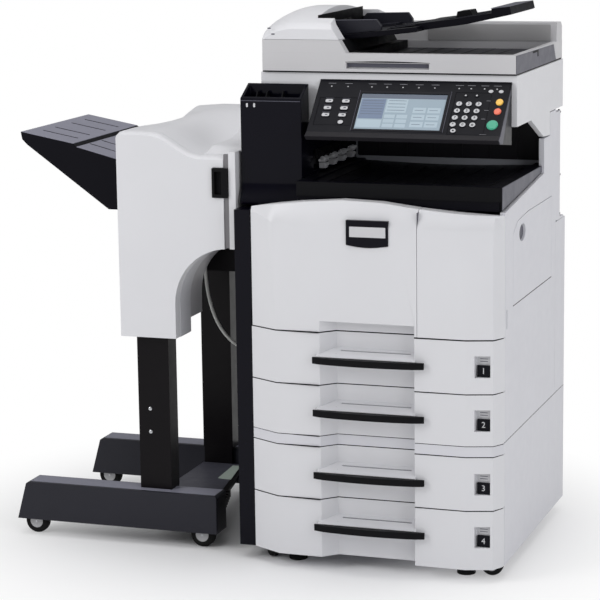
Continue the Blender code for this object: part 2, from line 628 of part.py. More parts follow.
def caster_fork(name, x, y, trail):
    """A swivel fork; trail is the wheel's offset from the swivel axis."""
    body = cylinder((x, y, 0.0584), (0, 0, -1), 0.0135, 0.0060, 20)
    wide = abs(trail[0]) > abs(trail[1])
    for side in (-1, 1):
        if wide:
            leg = box(min(x, x + trail[0]) - 0.006, max(x, x + trail[0]) + 0.006,
                      y + side * 0.0125 - 0.0014, y + side * 0.0125 + 0.0014, 0.0180, 0.0560)
        else:
            leg = box(x + side * 0.0125 - 0.0014, x + side * 0.0125 + 0.0014,
                      min(y, y + trail[1]) - 0.006, max(y, y + trail[1]) + 0.006, 0.0180, 0.0560)
        union(body, leg)
    bridge = 0.0138
    union(body, box(x - bridge if not wide else min(x, x + trail[0]) - 0.006,
                    x + bridge if not wide else max(x, x + trail[0]) + 0.006,
                    y - bridge if wide else min(y, y + trail[1]) - 0.006,
                    y + bridge if wide else max(y, y + trail[1]) + 0.006, 0.0515, 0.0555))
    return finish(body, name, "black", (x, y, 0.055))


def wheel(name, centre, axis, radius, width, kind="rubber"):
    """A caster wheel with a rounded tread and a sunk hub."""
    half = width / 2
    profile = ((-half, 0.006), (-half, radius - 0.007), (-half + 0.0006, radius - 0.0035),
               (-half + 0.003, radius - 0.0008), (-half + 0.006, radius), (half - 0.006, radius),
               (half - 0.003, radius - 0.0008),
               (half - 0.0006, radius - 0.0035), (half, radius - 0.007), (half, 0.006))
    body = turned(profile, centre, axis, 32)
    return finish(body, name, kind, centre, soft=True)


def levelling_foot(name, x):
    profile = ((0.0, 0.0190), (0.0020, 0.0200), (0.0100, 0.0200), (0.0170, 0.0110), (0.0170, 0.0070),
               (0.0495, 0.0070))
    body = turned(profile, (x, FOOT_Y, 0.0), (0, 0, 1), 24)
    return finish(body, name, "black", (x, FOOT_Y, 0.0), soft=True)


# ---------------------------------------------------------------- finisher
ARC_X = -0.022
ARC_Z = 0.558
ARC_R = 0.128
LEG_Z = 0.480


def arc_points(grow, steps=12):
    """The quarter arc over the docking gap, from its lower left end up to its right end."""
    points = []
    for k in range(steps + 1):
        a = math.pi - (math.pi / 2) * k / steps
        points.append((ARC_X + (ARC_R + grow) * math.cos(a), ARC_Z + (ARC_R + grow) * math.sin(a)))
    return points


def ease(t):
    t = max(0.0, min(1.0, t))
    return t * t * (3 - 2 * t)


def finisher_top(x, y):
    """A crest on the left, a hump at the back and a valley falling to the front right by a raised block."""
    front = 0.9380 - 0.050 * ease((x + 0.205) / 0.115)
    block = 0.0180 * ease((x + 0.092) / 0.016) * ease((y - 0.045) / 0.05)
    share = 1.0 if x > -0.20 else 0.6 + 0.4 * ease((x + 0.282) / 0.08)
    hump = ease((y - 0.180) / 0.250) * (0.9520 - front) * share
    sag = -0.018 * ease((y - 0.10) / 0.3) * ease((-0.200 - x) / 0.080) * (1 - ease((y - 0.40) / 0.1))
    round_front = -0.007 * max(0.0, 1 - (y - FIN_Y) / 0.012) ** 2
    round_left = -0.008 * max(0.0, 1 - (x - FIN_LEFT) / 0.014) ** 2
    return front + block * (1 - ease((y - 0.30) / 0.1)) + hump + sag + round_front + round_left


FIN_XS = (FIN_LEFT, -0.2760, -0.2680, -0.2400, -0.2050, -0.1820, -0.1600, -0.1380, -0.1150, -0.0920,
          -0.0840, -0.0760, -0.0500, -0.0310)


def finisher_front_cover():
    y0 = FIN_Y
    y1 = FIN_Y + DOOR_T
    body = sheet_solid(FIN_XS, (y0, y0 + 0.004, y0 + 0.012, y1), finisher_top, lambda x, y: LEG_Z)
    arc = arc_points(0.0)
    gone = [(ARC_X - ARC_R, LEG_Z - 0.02)] + arc + [(0.02, ARC_Z + ARC_R), (0.02, LEG_Z - 0.02)]
    cut(body, prism(gone, y0 - 0.02, y1 + 0.02, "y"))
    cut(body, box(-0.262, -0.165, y0 + 0.006, y1 + 0.01, 0.500, 0.905))
    cut(body, box(-0.0565, -0.0200, y0 - 0.0200, y0 + 0.0085, 0.7980, 0.8640))
    return finish(body, "finisher_front_cover", "white", (-0.279, FIN_Y + 0.003, 0.700))


def finisher_handle():
    body = box(-0.0560, -0.0202, FIN_Y - 0.0060, FIN_Y + 0.0080, 0.7990, 0.8630)
    cut(body, box(-0.0500, -0.0300, FIN_Y - 0.0100, FIN_Y + 0.0035, 0.8060, 0.8560))
    union(body, box(-0.0340, -0.0205, FIN_Y - 0.0060, FIN_Y + 0.0045, 0.8000, 0.8620))
    return finish(body, "finisher_handle", "black", (-0.038, FIN_Y, 0.831))


def finisher_body():
    y1 = FIN_Y + DOOR_T + GAP
    xs = FIN_XS[:-1] + (-0.0300, -0.0180, FIN_RIGHT)
    ys = (y1, 0.070, 0.085, 0.100, 0.130, 0.170, 0.210, 0.250, 0.290, 0.330, 0.370, 0.410, 0.450, 0.500,
          0.520, FIN_REAR)

    def top(x, y):
        return finisher_top(x, y) - 0.010 * max(0.0, 1 - (FIN_REAR - y) / 0.03) ** 2
    body = sheet_solid(xs, ys, top, lambda x, y: 0.6900)
    lower = [(FIN_LEFT + 0.0004, LEG_Z)] + [(ARC_X - ARC_R, LEG_Z)] + arc_points(0.0)
    lower += [(FIN_RIGHT - 0.0003, ARC_Z + ARC_R), (FIN_RIGHT - 0.0003, 0.720), (FIN_LEFT + 0.0004, 0.720)]
    union(body, prism(lower, y1 + 0.0002, 0.1200, "y"))
    second = [(FIN_LEFT + 0.0008, 0.5120)] + [(ARC_X - ARC_R + 0.0002, 0.5120)] + arc_points(-0.0002)
    second += [(FIN_RIGHT - 0.0006, ARC_Z + ARC_R), (FIN_RIGHT - 0.0006, 0.715), (FIN_LEFT + 0.0008, 0.715)]
    union(body, prism(second, 0.1150, 0.1900, "y"))
    strip = [(-0.0190, ARC_Z + ARC_R), (FIN_RIGHT - 0.0002, ARC_Z + ARC_R), (FIN_RIGHT - 0.0002, 0.8990),
             (-0.0190, 0.8990)]
    union(body, prism(strip, FIN_Y, y1 + 0.010, "y"))
    cut(body, box(-0.300, -0.270, 0.080, 0.500, 0.8700, 0.9080))
    cut(body, box(-0.2600, -0.0150, 0.1960, 0.5150, 0.6700, 0.8560))
    return finish(body, "finisher_body", "white", soft=True)


def finisher_tray():
    side = ((-0.5350, 0.9250), (-0.5320, 0.9080), (-0.5200, 0.8960), (-0.3250, 0.7560), (-0.2828, 0.7560),
            (-0.2828, 0.8640), (-0.4000, 0.8940), (-0.4060, 0.9010))
    body = prism(side, 0.0800, 0.4500, "y")
    cut(body, prism(((-0.5100, 0.9050), (-0.4150, 0.8810), (-0.3100, 0.8500), (-0.3050, 0.7400),
                     (-0.3300, 0.7400)), 0.0880, 0.4420, "y"))
    union(body, prism(((-0.4400, 0.8900), (-0.4400, 0.9000), (-0.3000, 0.8680), (-0.3000, 0.8480)),
                      0.2400, 0.2900, "y"))
    return finish(body, "finisher_tray", "slate", (-0.2828, 0.265, 0.820))


def finisher_stand():
    body = box(-0.2550, -0.1800, 0.0560, 0.1030, 0.1266, LEG_Z - GAP)
    union(body, box(-0.2540, -0.1810, 0.0940, 0.1028, 0.0800, 0.1300))
    union(body, prism(((-0.2540, 0.0960), (-0.0800, 0.0960), (-0.0950, 0.1500), (-0.1250, 0.3300),
                       (-0.1500, 0.4490), (-0.2540, 0.4490)), 0.0800, 0.0880, "z"))
    union(body, box(-0.2500, -0.1790, 0.4400, 0.4490, 0.0802, 0.1300))
    union(body, box(-0.2520, -0.1770, 0.4402, 0.4880, 0.1266, 0.6450))
    union(body, box(-0.2520, -0.0200, 0.2300, 0.4900, 0.6000, 0.6894))
    return finish(body, "finisher_stand", "black")


def finisher_foot(name, y0, y1):
    low = 0.0380
    high = 0.1260
    outline = ((-0.5530, low), (-0.0640, low), (-0.0640, high - 0.004), (-0.0680, high), (-0.5240, high),
               (-0.5300, high - 0.004))
    body = prism(outline, y0, y1, "y")
    mid = (y0 + y1) / 2
    for x in (-0.516, -0.107):
        cut(body, box(x - 0.033, x + 0.033, mid - 0.0155, mid + 0.0155, 0.0, 0.0600))
    cut(body, box(-0.470, -0.150, y0 + 0.006, y1 - 0.006, 0.0, 0.1180))
    ridge = prism(((y0 - 0.01, high + 0.01), (y0 - 0.01, high - 0.006), (y0 + 0.006, high + 0.01)),
                  -0.60, 0.0, "x")
    cut(body, ridge)
    return finish(body, name, "slate")


def interface_cable():
    """The light signal cable that hangs between the finisher and the main unit."""
    curve = bpy.data.curves.new("interface_cable", "CURVE")
    curve.dimensions = "3D"
    curve.bevel_depth = 0.0038
    curve.bevel_resolution = 3
    curve.use_fill_caps = True
    ends = (Vector((-0.1530, 0.2240, 0.6300)), Vector((-0.1530, 0.2150, 0.4700)),
            Vector((-0.0900, 0.2300, 0.4000)),
            Vector((0.0008, 0.2500, 0.4100)))
    steps = 22
    points = []
    for k in range(steps + 1):
        t = k / steps
        u = 1 - t
        spot = ends[0] * u ** 3 + ends[1] * 3 * u * u * t + ends[2] * 3 * u * t * t + ends[3] * t ** 3
        points.append(spot)
    spline = curve.splines.new("POLY")
    spline.points.add(len(points) - 1)
    for point, spot in zip(spline.points, points):
        point.co = (*spot, 1.0)
    obj = bpy.data.objects.new("interface_cable", curve)
    bpy.context.scene.collection.objects.link(obj)
    obj.location = ORIGIN
    curve.materials.append(material("interface_cable", "cable"))
    return obj


# ---------------------------------------------------------------- assembly
def build():
    for obj in list(bpy.data.objects):
        bpy.data.objects.remove(obj, do_unlink=True)
    main_frame()
    left_cover()
    rear_cover()
    right_cover()
    front_door()
    front_right_cover()
    inner_tray()
    toner_container()
    drum_unit()
    exit_roller()
    mp_tray()
    for index in range(4):
        drawer_front(index)
        drawer_grip(index)
        drawer_tray(index)
    scanner_housing()
    platen_glass()
    scan_carriage()
    panel_housing()
    touch_screen()
    round_key("start_key", START_KEY, "green")
    round_key("stop_key", STOP_KEY, "red")
    round_key("reset_key", RESET_KEY, "yellow")
    numeric_keypad()
    function_keys()
    dp_body()
    dp_feeder_cover()
    dp_tray()
    dp_guide("dp_guide_front", 0.1860, 0.050)
    dp_guide("dp_guide_rear", 0.4440, -0.050)
    bridge_unit()
    feeder_cabinet()
    caster_fork("caster_fork_left", *FRONT_SWIVELS[0], (0.0, -0.014))
    caster_fork("caster_fork_right", *FRONT_SWIVELS[1], (0.016, 0.0))
    wheel("caster_wheel_left", (0.070, 0.037, CASTER_R), (1, 0, 0), CASTER_R, 0.0200)
    wheel("caster_wheel_right", (0.567, 0.037, CASTER_R), (0, 1, 0), CASTER_R, 0.0200)
    for name, x in zip(("caster_wheel_rear_left", "caster_wheel_rear_right"), REAR_CASTER_XS):
        wheel(name, (x, REAR_CASTER_Y, CASTER_R), (1, 0, 0), CASTER_R, 0.0200)
    levelling_foot("levelling_foot_left", FOOT_XS[0])
    levelling_foot("levelling_foot_right", FOOT_XS[1])
    finisher_body()
    finisher_front_cover()
    finisher_handle()
    finisher_tray()
    finisher_stand()
    finisher_foot("finisher_foot_front", 0.0300, 0.0930)
    finisher_foot("finisher_foot_rear", 0.4500, 0.5130)
    for name, x, y in (("finisher_wheel_fl", -0.516, 0.0615), ("finisher_wheel_fr", -0.107, 0.0615),
                       ("finisher_wheel_rl", -0.516, 0.4815), ("finisher_wheel_rr", -0.107, 0.4815)):
        wheel(name, (x, y, FIN_WHEEL_R), (0, 1, 0), FIN_WHEEL_R, 0.0220)
    interface_cable()


build()
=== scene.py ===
"""The looks of the office photocopier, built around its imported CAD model."""

import json
import math

import bmesh
import bpy
from mathutils import Matrix, Vector


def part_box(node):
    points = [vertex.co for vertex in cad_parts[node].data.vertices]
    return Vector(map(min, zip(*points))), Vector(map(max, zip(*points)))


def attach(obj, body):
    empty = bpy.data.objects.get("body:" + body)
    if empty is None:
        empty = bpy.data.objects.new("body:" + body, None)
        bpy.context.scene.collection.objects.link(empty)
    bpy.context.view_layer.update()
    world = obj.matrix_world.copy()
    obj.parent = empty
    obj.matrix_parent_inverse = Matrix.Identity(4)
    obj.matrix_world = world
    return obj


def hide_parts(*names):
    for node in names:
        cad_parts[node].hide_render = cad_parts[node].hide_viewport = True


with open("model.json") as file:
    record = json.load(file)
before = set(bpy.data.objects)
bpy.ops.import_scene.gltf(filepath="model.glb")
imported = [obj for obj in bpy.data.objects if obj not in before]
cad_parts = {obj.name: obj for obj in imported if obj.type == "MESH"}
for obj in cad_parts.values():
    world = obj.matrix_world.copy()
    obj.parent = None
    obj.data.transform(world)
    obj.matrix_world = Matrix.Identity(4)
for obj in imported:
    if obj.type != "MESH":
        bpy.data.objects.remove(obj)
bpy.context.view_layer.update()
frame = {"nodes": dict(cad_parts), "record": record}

# ---------------------------------------------------------------- datum and shared sizes
DATUM = Vector((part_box("left_cover")[0].x - 0.003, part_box("left_cover")[0].y, 0.0))
BODY_OF = {node: body for body, nodes in frame["record"]["behaviour"]["bodies"].items() for node in nodes}


def span(node):
    """A CAD node's box in machine coordinates: x0, x1, y0, y1, z0, z1."""
    low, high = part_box(node)
    low = low - DATUM
    high = high - DATUM
    return low.x, high.x, low.y, high.y, low.z, high.z


# ---------------------------------------------------------------- camera and studio
CAMERA_SPOT = Vector((1.6933, -4.806, 1.501))
CAMERA_YAW = 19.0
CAMERA_DOWN = 10.75
CAMERA_ROLL = -0.81
LENS_MM = 136.9


def make_camera():
    yaw = math.radians(CAMERA_YAW)
    down = math.radians(CAMERA_DOWN)
    roll = math.radians(CAMERA_ROLL)
    ahead = Vector((-math.sin(yaw) * math.cos(down), math.cos(yaw) * math.cos(down), -math.sin(down)))
    right = Vector((math.cos(yaw), math.sin(yaw), 0.0))
    up = right.cross(ahead)
    across = math.cos(roll) * right + math.sin(roll) * up
    top = math.cos(roll) * up - math.sin(roll) * right
    data = bpy.data.cameras.new("camera")
    data.sensor_width = 36.0
    data.lens = LENS_MM
    camera = bpy.data.objects.new("camera", data)
    bpy.context.scene.collection.objects.link(camera)
    turn = Matrix((across, top, -ahead)).transposed().to_4x4()
    camera.matrix_world = Matrix.Translation(CAMERA_SPOT) @ turn
    bpy.context.scene.camera = camera


def area_light(name, spot, target, size, power, colour=(1.0, 1.0, 1.0)):
    data = bpy.data.lights.new(name, "AREA")
    data.shape = "RECTANGLE"
    data.size = size[0]
    data.size_y = size[1]
    data.energy = power
    data.color = colour
    light = bpy.data.objects.new(name, data)
    light.location = spot
    light.rotation_euler = (Vector(target) - Vector(spot)).to_track_quat("-Z", "Y").to_euler()
    bpy.context.scene.collection.objects.link(light)


def make_world():
    """White behind the object, with a softer sky that is darker near the horizon as its light."""
    world = bpy.data.worlds.new("studio")
    bpy.context.scene.world = world
    world.use_nodes = True
    nodes = world.node_tree.nodes
    links = world.node_tree.links
    nodes.clear()
    out = nodes.new("ShaderNodeOutputWorld")
    mix = nodes.new("ShaderNodeMixShader")
    seen = nodes.new("ShaderNodeBackground")
    seen.inputs["Color"].default_value = (1.0, 1.0, 1.0, 1.0)
    sky = nodes.new("ShaderNodeBackground")
    sky.inputs["Strength"].default_value = 0.50
    path = nodes.new("ShaderNodeLightPath")
    place = nodes.new("ShaderNodeTexCoord")
    split = nodes.new("ShaderNodeSeparateXYZ")
    ramp = nodes.new("ShaderNodeValToRGB")
    ramp.color_ramp.elements[0].position = 0.0
    ramp.color_ramp.elements[0].color = (0.30, 0.31, 0.33, 1.0)
    ramp.color_ramp.elements[1].position = 0.75
    ramp.color_ramp.elements[1].color = (1.0, 1.0, 1.0, 1.0)
    links.new(place.outputs["Generated"], split.inputs["Vector"])
    links.new(split.outputs["Z"], ramp.inputs["Fac"])
    links.new(ramp.outputs["Color"], sky.inputs["Color"])
    links.new(path.outputs["Is Camera Ray"], mix.inputs["Fac"])
    links.new(sky.outputs["Background"], mix.inputs[1])
    links.new(seen.outputs["Background"], mix.inputs[2])
    links.new(mix.outputs["Shader"], out.inputs["Surface"])


FLOOR_HALF = 60.0
SHADOW_NEAR = 0.30       # out to here the floor takes the object's shadow
SHADOW_FAR = 1.02        # beyond here it is the plain white of the surroundings


def make_floor():
    """A pale floor that takes the soft shadow round the object and turns into the white surroundings."""
    mesh = bmesh.new()
    bmesh.ops.create_grid(mesh, x_segments=4, y_segments=4, size=FLOOR_HALF)
    data = bpy.data.meshes.new("floor")
    mesh.to_mesh(data)
    mesh.free()
    floor = bpy.data.objects.new("floor", data)
    bpy.context.scene.collection.objects.link(floor)
    shade = bpy.data.materials.new("floor_white")
    shade.use_nodes = True
    tree = shade.node_tree
    shader = tree.nodes["Principled BSDF"]
    shader.inputs["Base Color"].default_value = (0.93, 0.93, 0.94, 1.0)
    shader.inputs["Roughness"].default_value = 0.9
    shader.inputs["Specular IOR Level"].default_value = 0.1
    place = tree.nodes.new("ShaderNodeTexCoord")
    far = tree.nodes.new("ShaderNodeVectorMath")
    far.operation = "LENGTH"
    reach = tree.nodes.new("ShaderNodeMapRange")
    reach.interpolation_type = "SMOOTHSTEP"
    reach.inputs["From Min"].default_value = SHADOW_NEAR
    reach.inputs["From Max"].default_value = SHADOW_FAR
    plain = tree.nodes.new("ShaderNodeEmission")
    plain.inputs["Color"].default_value = (1.0, 1.0, 1.0, 1.0)
    mix = tree.nodes.new("ShaderNodeMixShader")
    tree.links.new(place.outputs["Object"], far.inputs[0])
    tree.links.new(far.outputs["Value"], reach.inputs["Value"])
    tree.links.new(reach.outputs["Result"], mix.inputs["Fac"])
    tree.links.new(shader.outputs["BSDF"], mix.inputs[1])
    tree.links.new(plain.outputs["Emission"], mix.inputs[2])
    tree.links.new(mix.outputs["Shader"], tree.nodes["Material Output"].inputs["Surface"])
    data.materials.append(shade)


def make_studio():
    make_world()
    make_floor()
    area_light("key", (-3.0, -3.2, 2.7), (0.1, -0.1, 0.6), (2.0, 2.0), 76.0)
    area_light("fill", (3.6, -2.4, 1.8), (0.2, 0.0, 0.6), (2.0, 2.4), 40.0, (0.96, 0.97, 1.0))
    area_light("top", (0.3, -0.2, 3.8), (0.0, 0.1, 0.6), (3.0, 2.6), 44.0)
    bpy.context.scene.view_settings.view_transform = "Standard"


# ---------------------------------------------------------------- materials
def link_noise(tree, scale, detail, rough=0.55):
    """A noise texture in object coordinates, its scale in features per metre."""
    place = tree.nodes.new("ShaderNodeTexCoord")
    noise = tree.nodes.new("ShaderNodeTexNoise")
    noise.inputs["Scale"].default_value = scale
    noise.inputs["Detail"].default_value = detail
    noise.inputs["Roughness"].default_value = rough
    tree.links.new(place.outputs["Object"], noise.inputs["Vector"])
    return noise.outputs["Fac"]


def ranged(tree, value, low, high):
    """The value, stretched from its middle range onto low..high."""
    span_node = tree.nodes.new("ShaderNodeMapRange")
    span_node.inputs["From Min"].default_value = 0.30
    span_node.inputs["From Max"].default_value = 0.70
    span_node.inputs["To Min"].default_value = low
    span_node.inputs["To Max"].default_value = high
    tree.links.new(value, span_node.inputs["Value"])
    return span_node.outputs["Result"]


def moulded(name, colour, rough, grain=1400.0, grain_depth=0.00002, tone=0.05, specular=0.5, coat=0.0,
            metallic=0.0, glow=0.0):
    """Moulded plastic or painted metal: a fine grain, a slow drift of tone and a roughness that wanders."""
    made = bpy.data.materials.new(name)
    made.use_nodes = True
    tree = made.node_tree
    shader = tree.nodes["Principled BSDF"]
    shader.inputs["Specular IOR Level"].default_value = specular
    shader.inputs["Metallic"].default_value = metallic
    shader.inputs["Coat Weight"].default_value = coat
    shader.inputs["Coat Roughness"].default_value = 0.06
    slow = link_noise(tree, 5.0, 3.0)
    shift = ranged(tree, slow, -1.0, 1.0)
    mix = tree.nodes.new("ShaderNodeMix")
    mix.data_type = "RGBA"
    half = tree.nodes.new("ShaderNodeMapRange")
    half.inputs["From Min"].default_value = -1.0
    half.inputs["From Max"].default_value = 1.0
    tree.links.new(shift, half.inputs["Value"])
    tree.links.new(half.outputs["Result"], mix.inputs["Factor"])
    dark = [c * (1.0 - tone) for c in colour]
    light = [min(1.0, c * (1.0 + tone)) for c in colour]
    mix.inputs["A"].default_value = (*dark, 1.0)
    mix.inputs["B"].default_value = (*light, 1.0)
    tree.links.new(mix.outputs["Result"], shader.inputs["Base Color"])
    wander = link_noise(tree, 38.0, 4.0)
    tree.links.new(ranged(tree, wander, rough * 0.88, min(1.0, rough * 1.12)), shader.inputs["Roughness"])
    fine = link_noise(tree, grain, 2.0)
    bump = tree.nodes.new("ShaderNodeBump")
    bump.inputs["Strength"].default_value = 0.6
    bump.inputs["Distance"].default_value = grain_depth
    tree.links.new(fine, bump.inputs["Height"])
    tree.links.new(bump.outputs["Normal"], shader.inputs["Normal"])
    if glow:
        shader.inputs["Emission Color"].default_value = (*colour, 1.0)
        shader.inputs["Emission Strength"].default_value = glow
    return made


def clear(name, colour, rough, transmission):
    made = bpy.data.materials.new(name)
    made.use_nodes = True
    tree = made.node_tree
    shader = tree.nodes["Principled BSDF"]
    shader.inputs["Base Color"].default_value = (*colour, 1.0)
    shader.inputs["Transmission Weight"].default_value = transmission
    smear = link_noise(tree, 26.0, 3.0)
    tree.links.new(ranged(tree, smear, rough, rough * 2.0), shader.inputs["Roughness"])
    return made


M = {
    "white": moulded("body_white", (0.66, 0.66, 0.685), 0.42, tone=0.015),
    # painted shade: a darker, bluer copy of the body white for the side and rear covers, the side tray, the
    # cabinet and the arc band
    "shaded_white": moulded("side_white_painted_shade", (0.62, 0.62, 0.66), 0.45, tone=0.015),
    # painted shade: a darker copy of the body white for the door's back, the dome's lip and the arc band's
    # rear face
    "inner": moulded("recess_painted_shade_grey", (0.50, 0.49, 0.52), 0.50, tone=0.03),
    "grey": moulded("frame_grey", (0.36, 0.37, 0.40), 0.46, grain=900.0, tone=0.04),
    "zinc": moulded("zinc_plate", (0.55, 0.56, 0.58), 0.34, grain=260.0, tone=0.10, metallic=0.9),
    "slate": moulded("tray_slate", (0.015, 0.015, 0.022), 0.40, tone=0.05, specular=0.25),
    "lilac": moulded("tray_lip_grey", (0.085, 0.085, 0.110), 0.42, tone=0.04, specular=0.25),
    "panel": moulded("panel_black", (0.004, 0.004, 0.007), 0.34, tone=0.08, specular=0.10),
    "gloss": moulded("gloss_black", (0.0022, 0.0020, 0.0055), 0.20, grain=700.0, grain_depth=0.000004,
                     tone=0.05, specular=0.08, coat=0.08),
    "matt": moulded("matt_black", (0.004, 0.004, 0.005), 0.52, tone=0.08, specular=0.10),
    "powder": moulded("powder_black", (0.004, 0.003, 0.004), 0.34, grain=1000.0, grain_depth=0.00003,
                      tone=0.06, specular=0.12),
    "rubber": moulded("tread_rubber", (0.008, 0.008, 0.008), 0.82, grain=700.0, grain_depth=0.00005,
                      tone=0.12, specular=0.15),
    "hub": moulded("hub_grey", (0.42, 0.42, 0.43), 0.50, tone=0.04),
    "key": moulded("key_grey", (0.50, 0.50, 0.52), 0.45, tone=0.03),
    "mark": moulded("print_white", (0.55, 0.55, 0.57), 0.60, tone=0.02),
    "green": moulded("key_green", (0.006, 0.33, 0.19), 0.34, tone=0.05, coat=0.3),
    "red": moulded("key_red", (0.78, 0.13, 0.06), 0.34, tone=0.05, coat=0.3),
    "yellow": moulded("key_yellow", (0.86, 0.50, 0.05), 0.34, tone=0.05, coat=0.3),
    "cable": moulded("cable_jacket", (0.62, 0.62, 0.60), 0.55, grain=500.0, tone=0.04),
    "screen": moulded("screen_film", (0.22, 0.28, 0.33), 0.16, grain_depth=0.0, tone=0.06, specular=0.3,
                      glow=0.28),
    "screen_blue": moulded("screen_blue", (0.12, 0.16, 0.24), 0.20, grain_depth=0.0, tone=0.05,
                           specular=0.3, glow=0.22),
    "screen_pale": moulded("screen_pale", (0.29, 0.36, 0.41), 0.20, grain_depth=0.0, tone=0.04,
                           specular=0.3, glow=0.30),
    "screen_bar": moulded("screen_bar", (0.09, 0.11, 0.15), 0.20, grain_depth=0.0, tone=0.04, specular=0.3,
                          glow=0.15),
    "ink": moulded("tray_black", (0.0018, 0.0016, 0.0042), 0.42, tone=0.06, specular=0.10),
    # painted shade: a darker copy of the body white on the document feeder's body, for the lower light on its
    # face
    "feeder": moulded("feeder_white_painted_shade", (0.52, 0.515, 0.53), 0.42, tone=0.015),
    # painted sheen: a lighter lavender for the top faces of the dark trays and feet, where they catch the
    # light
    "skin": moulded("tray_top_painted_sheen", (0.23, 0.23, 0.285), 0.42, tone=0.04, specular=0.3),
    "charcoal": moulded("charcoal", (0.014, 0.013, 0.016), 0.45, tone=0.06, specular=0.15),
    "shade": moulded("shaded_grey", (0.16, 0.155, 0.165), 0.50, tone=0.05),
    "rearwall": moulded("rear_wall_grey", (0.36, 0.355, 0.36), 0.50, tone=0.04),
    "dim_mark": moulded("print_grey", (0.20, 0.20, 0.22), 0.60, tone=0.03),
    "green_plate": moulded("pale_green_plate", (0.50, 0.58, 0.52), 0.40, tone=0.05),
    "paper": moulded("paper_edge", (0.80, 0.80, 0.78), 0.80, grain=2500.0, tone=0.02),
    "glass": clear("platen_glass", (0.80, 0.90, 0.90), 0.03, 0.85),
}

NODE_LOOKS = {
    "main_frame": "grey", "left_cover": "gloss", "rear_cover": "shaded_white", "right_cover": "shaded_white",
    "front_door": "white",
    "front_right_cover": "white", "inner_tray": "ink", "toner_container": "matt", "drum_unit": "slate",
    "exit_roller": "mark", "mp_tray": "shaded_white", "scanner_housing": "white", "platen_glass": "glass",
    "scan_carriage": "slate", "panel_housing": "panel", "touch_screen": "screen", "start_key": "green",
    "stop_key": "red", "reset_key": "yellow", "numeric_keypad": "panel", "function_keys": "panel",
    "dp_body": "feeder", "dp_feeder_cover": "white", "dp_tray": "ink", "dp_guide_front": "slate",
    "dp_guide_rear": "slate", "bridge_unit": "gloss", "feeder_cabinet": "shaded_white", "caster_fork_left": "matt",
    "caster_fork_right": "matt", "levelling_foot_left": "matt", "levelling_foot_right": "matt",
    "finisher_body": "white", "finisher_front_cover": "white", "finisher_handle": "matt",
    "finisher_tray": "ink", "finisher_stand": "powder", "finisher_foot_front": "slate",
    "finisher_foot_rear": "slate", "interface_cable": "cable",
}
for number in range(1, 5):
    NODE_LOOKS[f"drawer_front_{number}"] = "white"
    NODE_LOOKS[f"drawer_grip_{number}"] = "matt"
    NODE_LOOKS[f"drawer_tray_{number}"] = "grey"

EDGE = {"dp_body": 0.0035, "dp_feeder_cover": 0.003, "scanner_housing": 0.0015, "bridge_unit": 0.0020,
        "feeder_cabinet": 0.0010, "finisher_body": 0.0012, "platen_glass": 0.0004, "inner_tray": 0.0006,
        "touch_screen": 0.0002, "numeric_keypad": 0.0003, "function_keys": 0.0003}


def dress_node(name, node):
    """Gives a CAD node its finish and, where it has hard corners, the small radius of a moulded edge."""
    look = NODE_LOOKS.get(name, "rubber")
    node.data.materials.clear()
    node.data.materials.append(M[look])
    if name.startswith(("caster_wheel", "finisher_wheel", "interface", "levelling", "exit_roller")):
        return
    weld = node.modifiers.new("weld", "WELD")
    weld.merge_threshold = 0.00001
    bevel = node.modifiers.new("edge", "BEVEL")
    bevel.width = EDGE.get(name, 0.0008)
    bevel.segments = 2
    bevel.limit_method = "ANGLE"
    bevel.angle_limit = math.radians(32)
    bevel.use_clamp_overlap = True
    normals = node.modifiers.new("normals", "WEIGHTED_NORMAL")
    normals.keep_sharp = False


# ---------------------------------------------------------------- mesh helpers, in machine coordinates
def point_on(axis, a, b, along):
    """A point from two outline numbers and a distance along the sweep axis."""
    if axis == "x":
        return Vector((along, a, b))
    if axis == "y":
        return Vector((a, along, b))
    return Vector((a, b, along))


def add_loop_solid(mesh, low, high):
    """Closes two matching rings of points into a solid."""
    below = [mesh.verts.new(p) for p in low]
    above = [mesh.verts.new(p) for p in high]
    mesh.faces.new(below)
    mesh.faces.new(list(reversed(above)))
    for i in range(len(low)):
        j = (i + 1) % len(low)
        mesh.faces.new((below[i], below[j], above[j], above[i]))


def add_prism(mesh, outline, low, high, axis):
    add_loop_solid(mesh, [point_on(axis, a, b, low) for a, b in outline],
                   [point_on(axis, a, b, high) for a, b in outline])


def add_box(mesh, x0, x1, y0, y1, z0, z1):
    add_prism(mesh, ((x0, y0), (x1, y0), (x1, y1), (x0, y1)), z0, z1, "z")


def ring(ca, cb, ra, rb, steps=24):
    return [(ca + ra * math.cos(2 * math.pi * k / steps), cb + rb * math.sin(2 * math.pi * k / steps))
            for k in range(steps)]


def rounded(a0, a1, b0, b1, radius, steps=5):
    """A rectangle with round corners, as an outline."""
    points = []
    for ca, cb, start in ((a1 - radius, b1 - radius, 0), (a0 + radius, b1 - radius, 1),
                          (a0 + radius, b0 + radius, 2), (a1 - radius, b0 + radius, 3)):
        for k in range(steps + 1):
            angle = math.pi / 2 * (start + k / steps)
            points.append((ca + radius * math.cos(angle), cb + radius * math.sin(angle)))
    return points


def add_turned(mesh, profile, origin, axis, steps=32):
    """A closed solid of revolution; profile is (distance along the axis, radius)."""
    spin = Vector(axis).normalized().to_track_quat("Z", "Y").to_matrix()
    rings = []
    for along, radius in profile:
        rings.append([
            mesh.verts.new(Vector(origin) + spin @ Vector((
                radius * math.cos(2 * math.pi * k / steps),
                radius * math.sin(2 * math.pi * k / steps), along)))
            for k in range(steps)])
    for a, b in zip(rings, rings[1:]):
        for k in range(steps):
            m = (k + 1) % steps
            mesh.faces.new((a[k], a[m], b[m], b[k]))
    mesh.faces.new(rings[0])
    mesh.faces.new(list(reversed(rings[-1])))


